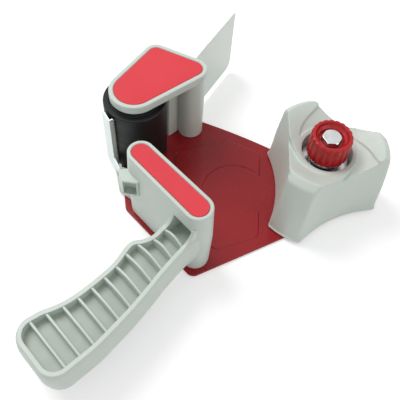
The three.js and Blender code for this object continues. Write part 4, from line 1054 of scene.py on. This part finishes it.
# Floor and light: a pale studio floor that shows white and keeps a soft shadow, under two
# large round lamps, above it and to its sides, and an even light from all round.
FLOOR_HALF = 6.0
FLOOR_GAP = 0.0002
GLOW_NEAR, GLOW_NEAR_LEVEL = 0.3, 0.36
GLOW_FAR, GLOW_FAR_LEVEL = 1.2, 0.65
WORLD_LIGHT = 0.48
LAMP_AIM = (0, 0, 0.02)
floor_mesh = bpy.data.meshes.new("floor")
floor_corners = [(x * FLOOR_HALF, y * FLOOR_HALF, 0) for x, y in ((-1, -1), (1, -1), (1, 1), (-1, 1))]
floor_mesh.from_pydata(floor_corners, [], [(0, 1, 2, 3)])
floor = bpy.data.objects.new("floor", floor_mesh)
bpy.context.scene.collection.objects.link(floor)
floor.location.z = -FLOOR_GAP
floor_finish = Finish("pale_floor", 0.9, Emission_Strength=1.0)
floor_finish.show("Base Color", colour(240, 240, 240))
away = floor_finish.node("ShaderNodeVectorMath", {0: floor_finish.place}, "Value", operation="LENGTH")
level = floor_finish.span(away, GLOW_NEAR, GLOW_FAR, GLOW_NEAR_LEVEL, GLOW_FAR_LEVEL)
glow = floor_finish.seen() * level
floor_finish.show("Emission Color", floor_finish.blend(glow, (0.0, 0.0, 0.0), (1.0, 1.0, 1.0)))
floor.data.materials.append(floor_finish.material)

world = bpy.data.worlds.new("studio")
bpy.context.scene.world = world
world.use_nodes = True
studio = Nodes(world.node_tree)
background = studio.tree.nodes["Background"]
studio.feed(background.inputs["Color"], (1.0, 1.0, 1.0))
studio.feed(background.inputs["Strength"], studio.span(studio.seen(), 0.0, 1.0, WORLD_LIGHT, 1.0))


def lamp(name, place, size, power):
    """A round soft lamp that points at the dispenser."""
    light = bpy.data.lights.new(name, "AREA")
    light.shape = "DISK"
    light.size = size
    light.energy = power
    holder = bpy.data.objects.new(name, light)
    bpy.context.scene.collection.objects.link(holder)
    holder.location = place
    holder.rotation_mode = "QUATERNION"
    holder.rotation_quaternion = (Vector(LAMP_AIM) - Vector(place)).to_track_quat("-Z", "Y")


lamp("key", (-0.5, 0.35, 0.95), 0.6, 6)
lamp("fill", (0.8, -0.5, 0.8), 0.9, 2)

# Camera: at the photograph's place, with its angles and its lens, all found by fitting the
# solids to the photograph. It looks down on the dispenser and leans a little to one side.
CAMERA_PLACE = (-70.32, -206.26, 300.97)
FOCAL_PIXELS = 572.7
FRAME_PIXELS = 400
SENSOR_WIDTH = 36.0
PITCH = math.radians(57.33)
ROLL = math.radians(4.81)
camera_data = bpy.data.cameras.new("camera")
camera_data.sensor_width = SENSOR_WIDTH
camera_data.lens = FOCAL_PIXELS / FRAME_PIXELS * SENSOR_WIDTH
camera_data.clip_start = 0.01
camera = bpy.data.objects.new("camera", camera_data)
bpy.context.scene.collection.objects.link(camera)
forward = Vector((0, math.cos(PITCH), -math.sin(PITCH)))
level_right = Vector((1, 0, 0))
level_up = level_right.cross(forward)
right = math.cos(ROLL) * level_right + math.sin(ROLL) * level_up
up = math.cos(ROLL) * level_up - math.sin(ROLL) * level_right
aim = Matrix((right, up, -forward)).transposed()
camera.matrix_world = Matrix.Translation(ORIGIN + Vector(CAMERA_PLACE) * MM) @ aim.to_4x4()
bpy.context.scene.camera = camera
bpy.context.scene.view_settings.view_transform = "Standard"
